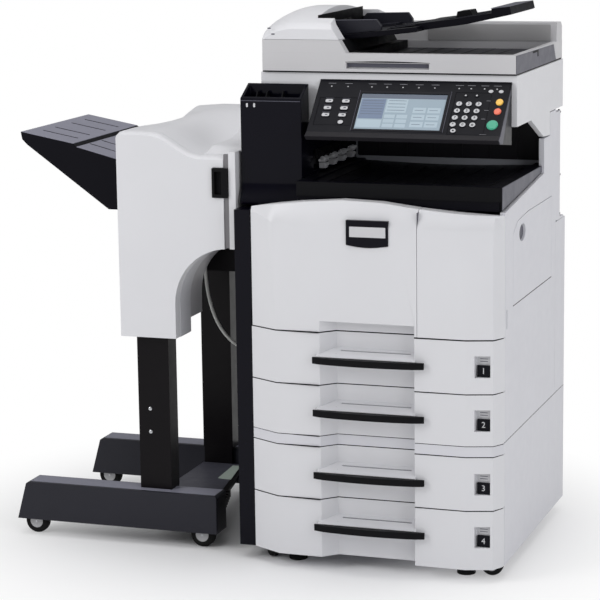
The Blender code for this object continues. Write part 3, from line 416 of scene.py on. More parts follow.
def add_surface(mesh, xs, ys, top, bottom):
    """A block over a grid whose top and bottom heights are functions of x and y."""
    up = [[mesh.verts.new((x, y, top(x, y))) for y in ys] for x in xs]
    down = [[mesh.verts.new((x, y, bottom(x, y))) for y in ys] for x in xs]
    for i in range(len(xs) - 1):
        for j in range(len(ys) - 1):
            mesh.faces.new((up[i][j], up[i + 1][j], up[i + 1][j + 1], up[i][j + 1]))
            mesh.faces.new((down[i][j], down[i][j + 1], down[i + 1][j + 1], down[i + 1][j]))
        mesh.faces.new((up[i][0], down[i][0], down[i + 1][0], up[i + 1][0]))
        mesh.faces.new((up[i][-1], up[i + 1][-1], down[i + 1][-1], down[i][-1]))
    for j in range(len(ys) - 1):
        mesh.faces.new((up[0][j], up[0][j + 1], down[0][j + 1], down[0][j]))
        mesh.faces.new((up[-1][j], down[-1][j], down[-1][j + 1], up[-1][j + 1]))


def soften(piece, width, segments=2, limit=35):
    edge = piece.modifiers.new("edge", "BEVEL")
    edge.width = width
    edge.segments = segments
    edge.limit_method = "ANGLE"
    edge.angle_limit = math.radians(limit)
    edge.harden_normals = True


def piece(name, mesh, look, body, edge=0.0, slot=None, segments=2):
    """Makes the mesh an object in its place, gives it its finish and lets it ride on the body."""
    bmesh.ops.recalc_face_normals(mesh, faces=mesh.faces)
    bmesh.ops.translate(mesh, vec=DATUM, verts=mesh.verts)
    data = bpy.data.meshes.new(name)
    mesh.to_mesh(data)
    mesh.free()
    data.shade_smooth()
    data.set_sharp_from_angle(angle=math.radians(35))
    made = bpy.data.objects.new(name, data)
    bpy.context.scene.collection.objects.link(made)
    data.materials.append(M[look])
    if edge:
        soften(made, edge, segments)
    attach(made, body)
    return made


def carve(made, add_cutter):
    """Cuts the solid that add_cutter draws out of a piece, exactly."""
    mesh = bmesh.new()
    add_cutter(mesh)
    bmesh.ops.recalc_face_normals(mesh, faces=mesh.faces)
    bmesh.ops.translate(mesh, vec=DATUM, verts=mesh.verts)
    data = bpy.data.meshes.new("cutter")
    mesh.to_mesh(data)
    mesh.free()
    cutter = bpy.data.objects.new("cutter", data)
    bpy.context.scene.collection.objects.link(cutter)
    step = made.modifiers.new("cut", "BOOLEAN")
    step.operation = "DIFFERENCE"
    step.solver = "EXACT"
    step.object = cutter
    graph = bpy.context.evaluated_depsgraph_get()
    done = bpy.data.meshes.new_from_object(made.evaluated_get(graph))
    made.modifiers.clear()
    made.data = done
    bpy.data.objects.remove(cutter, do_unlink=True)


def figure(text, centre, height, look, name, body, turn, depth=0.0003):
    """A generic figure, such as a key's number, as a thin raised solid; turn is its rotation matrix."""
    curve = bpy.data.curves.new(name, "FONT")
    curve.body = text
    curve.size = height * 1.38
    curve.extrude = depth / 2
    curve.align_x = "CENTER"
    curve.align_y = "CENTER"
    curve.resolution_u = 3
    scratch = bpy.data.objects.new(name + "_text", curve)
    bpy.context.scene.collection.objects.link(scratch)
    bpy.context.view_layer.update()
    data = bpy.data.meshes.new_from_object(scratch.evaluated_get(bpy.context.evaluated_depsgraph_get()))
    bpy.data.objects.remove(scratch, do_unlink=True)
    mesh = bmesh.new()
    mesh.from_mesh(data)
    bpy.data.meshes.remove(data)
    bmesh.ops.remove_doubles(mesh, verts=mesh.verts, dist=0.000001)
    bmesh.ops.transform(mesh, matrix=Matrix.Translation(centre) @ turn.to_4x4(), verts=mesh.verts)
    return piece(name, mesh, look, body)


UPRIGHT = Matrix.Rotation(math.radians(90), 3, "X")      # text that faces the front
SLOPED = Matrix.Rotation(math.radians(45), 3, "X")       # text on the control panel's slope


# ---------------------------------------------------------------- paper drawers
FRONT_LINE = ((0.0410, -0.0030), (0.108, -0.0400), (0.2040, -0.0450), (0.2370, -0.0120), (0.4100, -0.0120),
              (0.4180, -0.0450), (0.530, -0.0460), (0.585, -0.0300), (0.5996, -0.0020))
# plan of the dark strips that paint the shade in the gaps between the front covers
GAP_SHADE_OUTLINE = ((0.0435, 0.0020), (0.109, -0.0385), (0.2035, -0.0437), (0.2365, -0.0107),
                  (0.4105, -0.0107), (0.4185, -0.0437), (0.529, -0.0445), (0.584, -0.0285),
                  (0.5985, 0.0000), (0.5985, 0.009), (0.0435, 0.009))
RIBBON_OUT = 0.0003
RIBBON_IN = 0.0012


def add_ribbon(mesh, line, low, high):
    """A thin upright strip along the front covers' plan."""
    for (xa, ya), (xb, yb) in zip(line, line[1:]):
        add_prism(mesh, ((xa, ya - RIBBON_OUT), (xb, yb - RIBBON_OUT), (xb, yb + RIBBON_IN),
                         (xa, ya + RIBBON_IN)),
                  low, high, "z")


GRIP_RISE = (0.4695, 0.3540, 0.2165, 0.1010)


def drawer_details(number):
    node = f"drawer_front_{number}"
    body = f"drawer_{number}"
    _, _, _, _, _, high = span(node)
    grip = GRIP_RISE[number - 1]
    # painted shade: a dark strip in the gap above each drawer front, with a ribbon along its plan, darkens
    # the seam
    gap_shade = bmesh.new()
    add_prism(gap_shade, GAP_SHADE_OUTLINE, high - 0.0002, high + 0.0009, "z")
    add_ribbon(gap_shade, FRONT_LINE, high - 0.0009, high + 0.0004)
    piece(f"drawer_gap_shade_{number}", gap_shade, "matt", body, slot=f"drawer_grip_{number}")
    # painted shade: a dark strip in the slot of the grip's shelf and along the channel's side wall
    groove = bmesh.new()
    add_box(groove, 0.2503, 0.4047, -0.0257, -0.0218, grip + 0.0005, grip + 0.0176)
    add_prism(groove, ((0.2500, -0.0222), (0.2500, -0.0258), (0.2440, -0.0385), (0.2425, -0.0385)),
              grip + 0.0110, grip + 0.0133, "z")
    piece(f"shelf_groove_shade_{number}", groove, "lilac", body, slot=node)
    tag = bmesh.new()
    add_prism(tag, rounded(0.5500, 0.5780, grip - 0.0200, grip + 0.0045, 0.0015), -0.0300, -0.0246, "y")
    piece(f"drawer_tag_{number}", tag, "panel", body, 0.0006, slot=f"drawer_grip_{number}")
    card = bmesh.new()
    add_prism(card, rounded(0.5510, 0.5775, grip + 0.0075, grip + 0.0235, 0.001), -0.0262, -0.0246, "y")
    piece(f"size_card_{number}", card, "key", body, 0.0003, slot=node)
    rule = bmesh.new()
    for k in range(2):
        add_box(rule, 0.5560, 0.5725, -0.0266, -0.0261, grip + 0.0120 + 0.0055 * k,
                grip + 0.0133 + 0.0055 * k)
    piece(f"size_card_rule_{number}", rule, "lilac", body, slot=node)
    figure(str(number), Vector((0.5640, -0.0303, grip - 0.0078)), 0.0130, "mark", f"drawer_number_{number}",
           body, UPRIGHT)
    slides = bmesh.new()
    _, _, tray_front, tray_back, floor, top = span(f"drawer_tray_{number}")
    for x in (0.0555, 0.5668):
        middle = (floor + top) / 2
        add_box(slides, x, x + 0.0040, tray_front + 0.010, tray_back - 0.010, middle - 0.006, middle + 0.006)
    piece(f"drawer_runner_{number}", slides, "zinc", body, 0.0006, slot=f"drawer_tray_{number}")
    guides = bmesh.new()
    for y in (0.0260, 0.3280):
        add_box(guides, 0.2600, 0.3600, y, y + 0.0030, floor + 0.0045, top - 0.004)
    add_box(guides, 0.1030, 0.1060, 0.1200, 0.2400, floor + 0.0045, top - 0.004)
    piece(f"paper_guides_{number}", guides, "lilac", body, 0.0006, slot=f"drawer_tray_{number}")


# ---------------------------------------------------------------- front covers
def badge():
    plate = bmesh.new()
    outline = [(0.2700, 0.7725), (0.2700, 0.7195)]
    for k in range(1, 12):
        t = k / 12
        outline.append((0.2700 + 0.0925 * t, 0.7195 - 0.0048 * math.sin(math.pi * t)))
    outline += [(0.3625, 0.7195), (0.3625, 0.7725)]
    add_prism(plate, outline, -0.0460, -0.0370, "y")
    piece("badge_plate", plate, "gloss", "front_door", 0.0007, slot="front_door")
    strip = bmesh.new()
    add_prism(strip, rounded(0.2780, 0.3570, 0.7370, 0.7590, 0.001), -0.0464, -0.0457, "y")
    piece("badge_blank_strip", strip, "mark", "front_door", slot="front_door")


def door_inside():
    """Ribs and latches on the back of the front door, seen when it hangs open."""
    ribs = bmesh.new()
    for x in (0.0700, 0.1130, 0.4080):
        add_box(ribs, x, x + 0.0022, 0.0096, 0.0125, 0.565, 0.770)
    for x in (0.0600, 0.3950):
        add_box(ribs, x, x + 0.014, 0.0096, 0.0135, 0.772, 0.784)
    piece("door_ribs_and_latches", ribs, "inner", "front_door", 0.0004, slot="front_door")
    panel = bmesh.new()
    add_prism(panel, rounded(0.1215, 0.4035, 0.5765, 0.7335, 0.006), -0.0292, -0.0280, "y")
    piece("door_inner_skin", panel, "inner", "front_door", slot="front_door")


def door_gasket():
    """Painted shade: dark strips in the joints round the front door and the cover beside it, standing in for
    the shade in those gaps.
    """
    side = bmesh.new()
    add_box(side, 0.4237, 0.4244, -0.0420, 0.0090, 0.531, 0.792)
    piece("door_side_gap_shade", side, "lilac", "machine", slot="front_right_cover")
    below = bmesh.new()
    add_prism(below, GAP_SHADE_OUTLINE, 0.2998, 0.3012, "z")
    piece("feeder_gap_shade", below, "matt", "machine", slot="feeder_cabinet")


# ---------------------------------------------------------------- right side
def right_side():
    # painted shade: dark strips in the side tray's hinge gap, the cabinet joint and the side slot
    joint = bmesh.new()
    add_box(joint, 0.5890, 0.5999, 0.0815, 0.4465, 0.5797, 0.5817)
    piece("bypass_hinge_gap_shade", joint, "matt", "machine", slot="right_cover")
    seam = bmesh.new()
    add_box(seam, 0.5880, 0.5998, 0.0125, 0.5840, 0.3001, 0.3013)
    piece("side_cabinet_gap_shade", seam, "matt", "machine", slot="feeder_cabinet")
    dish = bmesh.new()
    add_prism(dish, ring(0.164, 0.727, 0.0275, 0.0170, 28), 0.5936, 0.5948, "x")
    piece("bypass_pull_dish", dish, "lilac", "mp_tray", slot="mp_tray")
    liner = bmesh.new()
    add_box(liner, 0.5935, 0.5960, 0.0234, 0.0286, 0.5434, 0.5826)
    piece("side_slot_shade", liner, "lilac", "machine", slot="right_cover")
    rod = bmesh.new()
    add_turned(rod, ((0.0, 0.0022), (0.245, 0.0022)), (0.5950, 0.5345, 0.7070), (0, 0, 1), 14)
    for z in (0.7090, 0.7985, 0.9420):
        add_turned(rod, ((0.0, 0.0034), (0.008, 0.0034)), (0.5950, 0.5345, z), (0, 0, 1), 14)
        add_box(rod, 0.5900, 0.5990, 0.5290, 0.5400, z + 0.0020, z + 0.0060)
    piece("rear_corner_rod", rod, "matt", "machine", 0.0003, slot="rear_cover")


# ---------------------------------------------------------------- control panel
def on_panel(x, s, lift):
    """A point of the control panel: x across, s up its slope, lift off its face."""
    half = math.sqrt(0.5)
    return Vector((x, -0.003 + half * (s - lift), 0.937 + half * (s + lift)))


def add_panel(mesh, outline, low, high):
    add_loop_solid(mesh, [on_panel(x, s, low) for x, s in outline],
                   [on_panel(x, s, high) for x, s in outline])


def control_panel():
    end = bmesh.new()
    top = on_panel(0, 0.160, 0)
    low = on_panel(0, 0.019, 0)
    add_prism(end, ((0.1100, 1.0515), (top.y + 0.0006, top.z - 0.0004), (low.y, low.z), (-0.0036, 0.9424),
                    (0.0080, 0.9334), (0.0300, 0.9312), (0.0860, 1.0100)), 0.5881, 0.5892, "x")
    piece("panel_end_cap", end, "lilac", "machine", 0.0003, slot="panel_housing")
    front = bmesh.new()
    add_loop_solid(front, [Vector((0.1668, low.y - 0.0004, low.z)), Vector((0.1668, -0.0045, 0.9421)),
                           Vector((0.1668, 0.0075, 0.9326)), Vector((0.1668, 0.0120, 0.9400))],
                   [Vector((0.5881, low.y - 0.0004, low.z)), Vector((0.5881, -0.0045, 0.9421)),
                    Vector((0.5881, 0.0075, 0.9326)), Vector((0.5881, 0.0120, 0.9400))])
    piece("panel_lip", front, "charcoal", "machine", 0.0008, slot="panel_housing")
    bezel = bmesh.new()
    x0, x1, s0, s1 = 0.269, 0.456, 0.030, 0.125
    for a0, a1, b0, b1 in ((x0 - 0.005, x1 + 0.007, s1 + 0.0008, s1 + 0.0070),
                           (x0 - 0.005, x1 + 0.007, s0 - 0.0060, s0 - 0.0008),
                           (x0 - 0.005, x0 - 0.0008, s0 - 0.001, s1 + 0.001),
                           (x1 + 0.0008, x1 + 0.0065, s0 - 0.001, s1 + 0.001)):
        add_panel(bezel, ((a0, b0), (a1, b0), (a1, b1), (a0, b1)), -0.0003, 0.0007)
    piece("screen_bezel", bezel, "gloss", "machine", 0.0003, slot="panel_housing")
    edge = bmesh.new()
    add_panel(edge, ((x1 + 0.0074, s0 - 0.006), (x1 + 0.0084, s0 - 0.006), (x1 + 0.0084, s1 + 0.008),
                     (x1 + 0.0074, s1 + 0.008)),
              -0.0003, 0.0010)
    add_panel(edge, ((x0 - 0.0062, s0 - 0.006), (x0 - 0.0054, s0 - 0.006), (x0 - 0.0054, s1 + 0.008),
                     (x0 - 0.0062, s1 + 0.008)),
              -0.0003, 0.0008)
    piece("screen_edge_line", edge, "lilac", "machine", slot="panel_housing")
    sheet_parts(x0, x1, s0, s1)
    key_caps()


def sheet_parts(x0, x1, s0, s1):
    """The blank menu on the touch screen: a bar, a side block, rows of empty buttons."""
    def band(name, look, boxes, lift):
        mesh = bmesh.new()
        for a0, a1, b0, b1 in boxes:
            add_panel(mesh, ((x0 + a0 * (x1 - x0), s0 + b0 * (s1 - s0)),
                             (x0 + a1 * (x1 - x0), s0 + b0 * (s1 - s0)),
                             (x0 + a1 * (x1 - x0), s0 + b1 * (s1 - s0)),
                             (x0 + a0 * (x1 - x0), s0 + b1 * (s1 - s0))),
                      -0.0011, -0.0010 + lift)
        piece(name, mesh, look, "machine", slot="touch_screen")
    band("screen_title_bar", "screen_bar", ((0.004, 0.996, 0.875, 0.995),), 0.00010)
    band("screen_side_block", "screen_blue", ((0.012, 0.300, 0.300, 0.860),), 0.00010)
    band("screen_list", "screen_pale", ((0.315, 0.560, 0.480, 0.860), (0.012, 0.300, 0.050, 0.270)), 0.00010)
    rows = [(0.320 + 0.145 * c, 0.445 + 0.145 * c, 0.060 + 0.130 * r, 0.160 + 0.130 * r) for c in range(2)
            for r in range(3)]
    rows += [(0.640 + 0.170 * c, 0.790 + 0.170 * c, 0.080 + 0.200 * r, 0.230 + 0.200 * r) for c in range(2)
             for r in range(3)]
    band("screen_buttons", "screen_pale", rows, 0.00014)
    lines = [(0.030, 0.280, 0.800 - 0.075 * k, 0.812 - 0.075 * k) for k in range(6)]
    lines += [(0.335, 0.540, 0.810 - 0.090 * k, 0.822 - 0.090 * k) for k in range(4)]
    lines += [(0.660 + 0.170 * c, 0.760 + 0.170 * c, 0.150 + 0.200 * r, 0.162 + 0.200 * r)
              for c in range(2) for r in range(3)]
    band("screen_rules", "screen_bar", lines, 0.00020)


def key_caps():
    """Light caps with generic figures on the number keys, oblong function key caps, dashes and lamps."""
    caps = bmesh.new()
    figures = "123456789*0#"
    for row in range(4):
        for column in range(3):
            x = 0.4860 + 0.0210 * column - 0.0012 * row
            s = 0.1010 - 0.0185 * row
            add_panel(caps, ring(x, s, 0.0064, 0.0058, 22), 0.0010, 0.0022)
    add_panel(caps, ring(0.4860, 0.0290, 0.0058, 0.0051, 22), 0.0010, 0.0022)
    for x in (0.4960, 0.5200):
        add_panel(caps, ring(x, 0.1240, 0.0022, 0.0020, 14), 0.0008, 0.0016)
    piece("number_key_caps", caps, "key", "numeric_keypad", 0.0005, slot="numeric_keypad")
    for index, text in enumerate(figures):
        row, column = divmod(index, 3)
        centre = on_panel(0.4860 + 0.0210 * column - 0.0012 * row, 0.1010 - 0.0185 * row, 0.00235)
        figure(text, centre, 0.0066, "panel", f"key_figure_{index + 1}", "numeric_keypad", SLOPED)
    dots = bmesh.new()
    add_panel(dots, ring(0.4860, 0.0290, 0.0022, 0.0020, 12), 0.0020, 0.0024)
    piece("clear_key_dot", dots, "panel", "numeric_keypad", slot="numeric_keypad")
    oblong = bmesh.new()
    for row in range(3):
        for column in range(2):
            x = 0.2000 + 0.0370 * column
            s = 0.1020 - 0.0190 * row
            add_panel(oblong, rounded(x - 0.0082, x + 0.0082, s - 0.0043, s + 0.0043, 0.0030), 0.0010, 0.0024)
    add_panel(oblong, ring(0.2370, 0.0450, 0.0060, 0.0050, 22), 0.0010, 0.0024)
    piece("function_key_caps", oblong, "key", "function_keys", 0.0006, slot="function_keys")
    slits = bmesh.new()
    for row in range(3):
        for column in range(2):
            x = 0.2000 + 0.0370 * column
            s = 0.1020 - 0.0190 * row
            add_panel(slits, ((x - 0.0010, s - 0.0012), (x + 0.0044, s - 0.0012), (x + 0.0044, s + 0.0012),
                              (x - 0.0010, s + 0.0012)),
                      0.0022, 0.0026)
    piece("function_key_lamps", slits, "lilac", "function_keys", slot="function_keys")
    dashes = bmesh.new()
    for row in range(3):
        for column in range(2):
            x = 0.2000 + 0.0370 * column
            s = 0.1105 - 0.0190 * row
            add_panel(dashes, ((x - 0.0095, s - 0.0005), (x + 0.0085, s - 0.0005), (x + 0.0085, s + 0.0005),
                               (x - 0.0095, s + 0.0005)),
                      -0.0002, 0.00002)
    piece("function_key_dashes", dashes, "lilac", "function_keys", slot="function_keys")
    marks = bmesh.new()
    lamps = bmesh.new()
    for x in (0.1960, 0.2330, 0.2860, 0.3200, 0.3550, 0.3900, 0.4250, 0.4780, 0.5040, 0.5330, 0.5600):
        add_panel(marks, ((x - 0.0085, 0.1508), (x + 0.0085, 0.1508), (x + 0.0085, 0.1518),
                          (x - 0.0085, 0.1518)), -0.0002, 0.0003)
        add_panel(lamps, ring(x, 0.1430, 0.0017, 0.0015, 12), -0.0002, 0.0006)
    for x, s in ((0.5490, 0.1105), (0.5490, 0.0850), (0.5460, 0.0620)):
        add_panel(marks, ((x - 0.0060, s), (x + 0.0030, s), (x + 0.0030, s + 0.0010),
                          (x - 0.0060, s + 0.0010)), 0.0001, 0.0005)
    add_panel(marks, ((0.5440, 0.0215), (0.5580, 0.0215), (0.5580, 0.0222), (0.5440, 0.0222)), -0.0002,
              0.0003)
    piece("panel_dashes", marks, "dim_mark", "machine", slot="panel_housing")
    piece("panel_lamps", lamps, "key", "machine", 0.0003, slot="panel_housing")
    for x in (0.5480, 0.5700):
        knob = bmesh.new()
        add_panel(knob, ring(x, 0.1360, 0.0052, 0.0040, 20), -0.0003, 0.0018)
        piece(f"panel_key_{round(x * 1000)}", knob, "key", "machine", 0.0006, slot="panel_housing")


# ---------------------------------------------------------------- document feeder
def document_feeder():
    floor = bmesh.new()
    add_box(floor, 0.2510, 0.5850, 0.1290, 0.4905, 1.0902, 1.0912)
    for k in range(7):
        x = 0.300 + 0.040 * k
        add_box(floor, x, x + 0.0016, 0.140, 0.480, 1.0911, 1.0924)
    piece("eject_deck_liner", floor, "slate", "document_feeder", 0.0003, slot="dp_tray")
    walls = bmesh.new()
    add_box(walls, 0.2506, 0.2520, 0.1292, 0.4902, 1.0911, 1.1075)
    add_box(walls, 0.2520, 0.5850, 0.1284, 0.1296, 1.0911, 1.1060)
    add_box(walls, 0.2270, 0.2520, 0.1290, 0.4910, 1.1078, 1.1087)
    add_prism(walls, ((0.2100, 1.1350), (0.2258, 1.1084), (0.2270, 1.1084), (0.2112, 1.1350)), 0.1290,
              0.4910, "y")
    piece("eject_wall_liner", walls, "matt", "document_feeder", slot="dp_tray")
    rear = bmesh.new()
    add_prism(rear, rounded(0.3000, 0.5850, 1.1090, 1.1460, 0.003), 0.4908, 0.4918, "y")
    piece("rear_wall_face", rear, "rearwall", "document_feeder", 0.0003, slot="dp_body")
    end = bmesh.new()
    add_prism(end, ((0.1068, 1.0684), (0.4850, 1.0684), (0.4610, 1.1046), (0.1068, 1.1072)), 0.5974, 0.5990,
              "x")
    piece("feeder_end_panel", end, "lilac", "document_feeder", 0.0004, slot="dp_body")
    notch = bmesh.new()
    add_prism(notch, ((0.2560, 1.1050), (0.2560, 1.1005), (0.3000, 1.1005), (0.3000, 1.0905),
                      (0.3100, 1.0905), (0.3100, 1.1050)),
              0.5985, 0.5993, "x")
    piece("feeder_end_latch", notch, "matt", "document_feeder", 0.0003, slot="dp_tray")
    # painted shade: a dark sheet inside the lift slot
    slot_shade = bmesh.new()
    add_box(slot_shade, 0.2262, 0.4098, 0.1145, 0.1158, 1.0785, 1.0868)
    piece("lift_slot_shade", slot_shade, "lilac", "document_feeder", slot="dp_body")
    brow = bmesh.new()
    outline = [(0.2240, 1.0893)]
    for k in range(13):
        t = k / 12
        outline.append((0.2240 + 0.1880 * t, 1.0900 + 0.0022 * math.sin(math.pi * t)))
    outline.append((0.4120, 1.0893))
    add_prism(brow, outline, 0.1056, 0.1075, "y")
    piece("lift_slot_brow", brow, "matt", "document_feeder", slot="dp_tray")
    # painted shade: dark strips in the gap under the document feeder's lid
    gap_shade = bmesh.new()
    for x0, x1, y0, y1 in ((0.0390, 0.0480, 0.1085, 0.5380), (0.5870, 0.5950, 0.1085, 0.5380),
                           (0.0480, 0.5870, 0.1085, 0.1180)):
        add_box(gap_shade, x0, x1, y0, y1, 1.0661, 1.0673)
    add_box(gap_shade, 0.0375, 0.5978, 0.1058, 0.1086, 1.0660, 1.0690)
    add_box(gap_shade, 0.5950, 0.5984, 0.1070, 0.5400, 1.0660, 1.0686)
    piece("lid_gap_shade", gap_shade, "matt", "document_feeder", slot="dp_tray")
    hinges = bmesh.new()
    for x in (0.110, 0.500):
        add_box(hinges, x, x + 0.045, 0.5440, 0.5546, 1.0860, 1.1040)
    piece("lid_hinge_covers", hinges, "lilac", "document_feeder", 0.0015, slot="dp_body")
    pad = bmesh.new()
    add_box(pad, 0.0540, 0.5810, 0.1240, 0.5310, 1.0682, 1.0786)
    piece("original_mat", pad, "paper", "document_feeder", 0.0020, slot="dp_body")


def feeder_dome_height(x, y):
    along = (y - 0.106) / 0.444
    rise = 1.1640 + 0.034 * math.sin(math.pi * min(1.0, max(0.0, along)) ** 0.8)
    side = max(0.0, (0.105 - x) / 0.069)
    front = max(0.0, (0.124 - y) / 0.018)
    edge = 1.1370 + (0.2094 - x) / 0.0210 * 0.034
    height = max(1.1390, rise - 0.022 * side ** 2 - 0.006 * front ** 2)
    return min(height, edge) if x > 0.188 else height


def feeder_cover():
    """The feed unit's domed cover, with its throat, its seam and the marks on its left end."""
    mesh = bmesh.new()
    xs = [0.0364 + 0.0068 * (k / 6) for k in range(6)] + [0.0432 + 0.1448 * k / 26 for k in range(27)]
    xs += [0.1880 + 0.0214 * (k + 1) / 6 for k in range(6)]
    ys = [0.1062 + 0.0178 * (k / 8) for k in range(8)] + [0.1240 + 0.4256 * k / 40 for k in range(41)]
    add_surface(mesh, xs, ys, feeder_dome_height, lambda x, y: 1.1364)
    dome = piece("feeder_cover_shell", mesh, "white", "feeder_cover", slot="dp_feeder_cover")
    carve(dome, lambda m: add_box(m, 0.1497, 0.3000, 0.1487, 0.4713, 1.1300, 1.2500))
    carve(dome, lambda m: add_box(m, 0.0735, 0.1437, 0.1265, 0.5270, 1.1300, 1.1480))
    dome.data.shade_smooth()
    dome.data.set_sharp_from_angle(angle=math.radians(28))
    soften(dome, 0.0012)
    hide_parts("dp_feeder_cover")
    liner = bmesh.new()
    add_box(liner, 0.1499, 0.1512, 0.1492, 0.4708, 1.1370, 1.1860)
    for y in (0.1490, 0.4700):
        add_prism(liner, ((0.1505, 1.1372), (0.1505, 1.1640), (0.1860, 1.1640), (0.2060, 1.1420),
                          (0.2060, 1.1372)),
                  y, y + 0.0010, "y")
    piece("throat_liner", liner, "matt", "feeder_cover", slot="dp_tray")
    rollers = bmesh.new()
    add_turned(rollers, ((0.0, 0.0030), (0.0980, 0.0030)), (0.1572, 0.2660, 1.1620), (0, 1, 0), 16)
    for k in range(3):
        y = 0.2700 + 0.033 * k
        add_turned(rollers, ((0.0, 0.0048), (0.0012, 0.0055), (0.0208, 0.0055), (0.0220, 0.0048)),
                   (0.1572, y, 1.1620), (0, 1, 0), 24)
    piece("pickup_rollers", rollers, "rubber", "feeder_cover", 0.0004, slot="dp_tray")
    marks = bmesh.new()
    for x, z in ((0.0526, 1.1600), (0.0615, 1.1475)):
        add_prism(marks, rounded(x - 0.0038, x + 0.0038, z - 0.0013, z + 0.0013, 0.0012), 0.1056, 0.1075, "y")
    piece("feeder_end_marks", marks, "lilac", "feeder_cover", slot="dp_feeder_cover")
    tab = bmesh.new()
    add_box(tab, 0.0355, 0.0368, 0.300, 0.356, 1.1390, 1.1440)
    piece("feeder_cover_lip", tab, "inner", "feeder_cover", 0.0004, slot="dp_feeder_cover")


def tray_top(x):
    """Top of the original tray along x."""
    for (xa, za), (xb, zb) in zip(((0.154, 1.1370), (0.260, 1.1490), (0.365, 1.1640), (0.460, 1.1790)),
                                  ((0.260, 1.1490), (0.365, 1.1640), (0.460, 1.1790), (0.560, 1.1960))):
        if x <= xb:
            return za + (zb - za) * (x - xa) / (xb - xa)
    return 1.1960


def original_tray():
    skin = bmesh.new()
    xs = [0.286 + 0.024 * k for k in range(10)]
    add_surface(skin, xs, [0.2110, 0.2600, 0.3100, 0.3600, 0.4190], lambda x, y: tray_top(x) + 0.0008,
                lambda x, y: tray_top(x) - 0.0010)
    piece("original_tray_skin", skin, "ink", "original_tray", 0.0004, slot="dp_tray")
    ribs = bmesh.new()
    for y in (0.2350, 0.2700, 0.3600, 0.3950):
        for a, b in zip(xs, xs[1:]):
            add_loop_solid(ribs, [Vector((a, y, tray_top(a) + 0.0006)),
                                  Vector((a, y + 0.003, tray_top(a) + 0.0006)),
                                  Vector((a, y + 0.003, tray_top(a) + 0.0022)),
                                  Vector((a, y, tray_top(a) + 0.0022))],
                           [Vector((b, y, tray_top(b) + 0.0006)),
                            Vector((b, y + 0.003, tray_top(b) + 0.0006)),
                            Vector((b, y + 0.003, tray_top(b) + 0.0022)),
                            Vector((b, y, tray_top(b) + 0.0022))])
    piece("original_tray_ribs", ribs, "slate", "original_tray", slot="dp_tray")
    clip = bmesh.new()
    add_prism(clip, ((0.4300, tray_top(0.430)), (0.4330, tray_top(0.430) + 0.0150),
                     (0.4620, tray_top(0.460) + 0.0140), (0.4680, tray_top(0.468))), 0.2500, 0.3000, "y")
    piece("paper_stop_clip", clip, "matt", "original_tray", 0.0014, slot="dp_tray")
    lip = bmesh.new()
    add_prism(lip, ((0.5195, 1.1985), (0.5605, 1.2035), (0.5605, 1.2040), (0.5195, 1.2000)), 0.2045, 0.4255,
              "y")
    piece("original_tray_lip", lip, "lilac", "original_tray", slot="dp_tray")
    # painted sheen: lighter caps on the guides' top faces, where they catch the light
    for name, body, y0, y1 in (("front", "guide_front", 0.1866, 0.1970),
                               ("rear", "guide_rear", 0.4330, 0.4434)):
        pad = bmesh.new()
        add_prism(pad, ((0.1720, 1.1721), (0.2690, 1.1741), (0.2690, 1.1749), (0.1720, 1.1729)), y0, y1, "y")
        piece(f"guide_top_sheen_{name}", pad, "lilac", body, 0.0003, slot="dp_guide_front")


# ---------------------------------------------------------------- bridge unit
def bridge():
    fins = bmesh.new()
    for x in (0.0300, 0.0520, 0.0880):
        add_prism(fins, ((0.0585, 0.9565), (0.0945, 0.9565), (0.0945, 1.0260), (0.0840, 1.0260),
                         (0.0585, 0.9900)),
                  x, x + 0.0030, "x")
    piece("bridge_fins", fins, "matt", "machine", 0.0006, slot="bridge_unit")
    marks = bmesh.new()
    for x in (0.0195, 0.0360):
        add_prism(marks, rounded(x - 0.0022, x + 0.0022, 0.9945, 1.0035, 0.0021), 0.0492, 0.0500, "y")
    piece("bridge_lamps", marks, "mark", "machine", slot="bridge_unit")
    rail = bmesh.new()
    add_box(rail, 0.0060, 0.1400, 0.0489, 0.0502, 1.0080, 1.0093)
    piece("bridge_rim_line", rail, "lilac", "machine", slot="bridge_unit")
    floor = bmesh.new()
    add_box(floor, 0.0104, 0.1356, 0.0564, 0.0966, 0.9562, 0.9574)
    for x in (0.0420, 0.0680, 0.1040):
        add_box(floor, x, x + 0.006, 0.0640, 0.0900, 0.9572, 0.9590)
    piece("bridge_well_floor", floor, "charcoal", "machine", 0.0003, slot="bridge_unit")


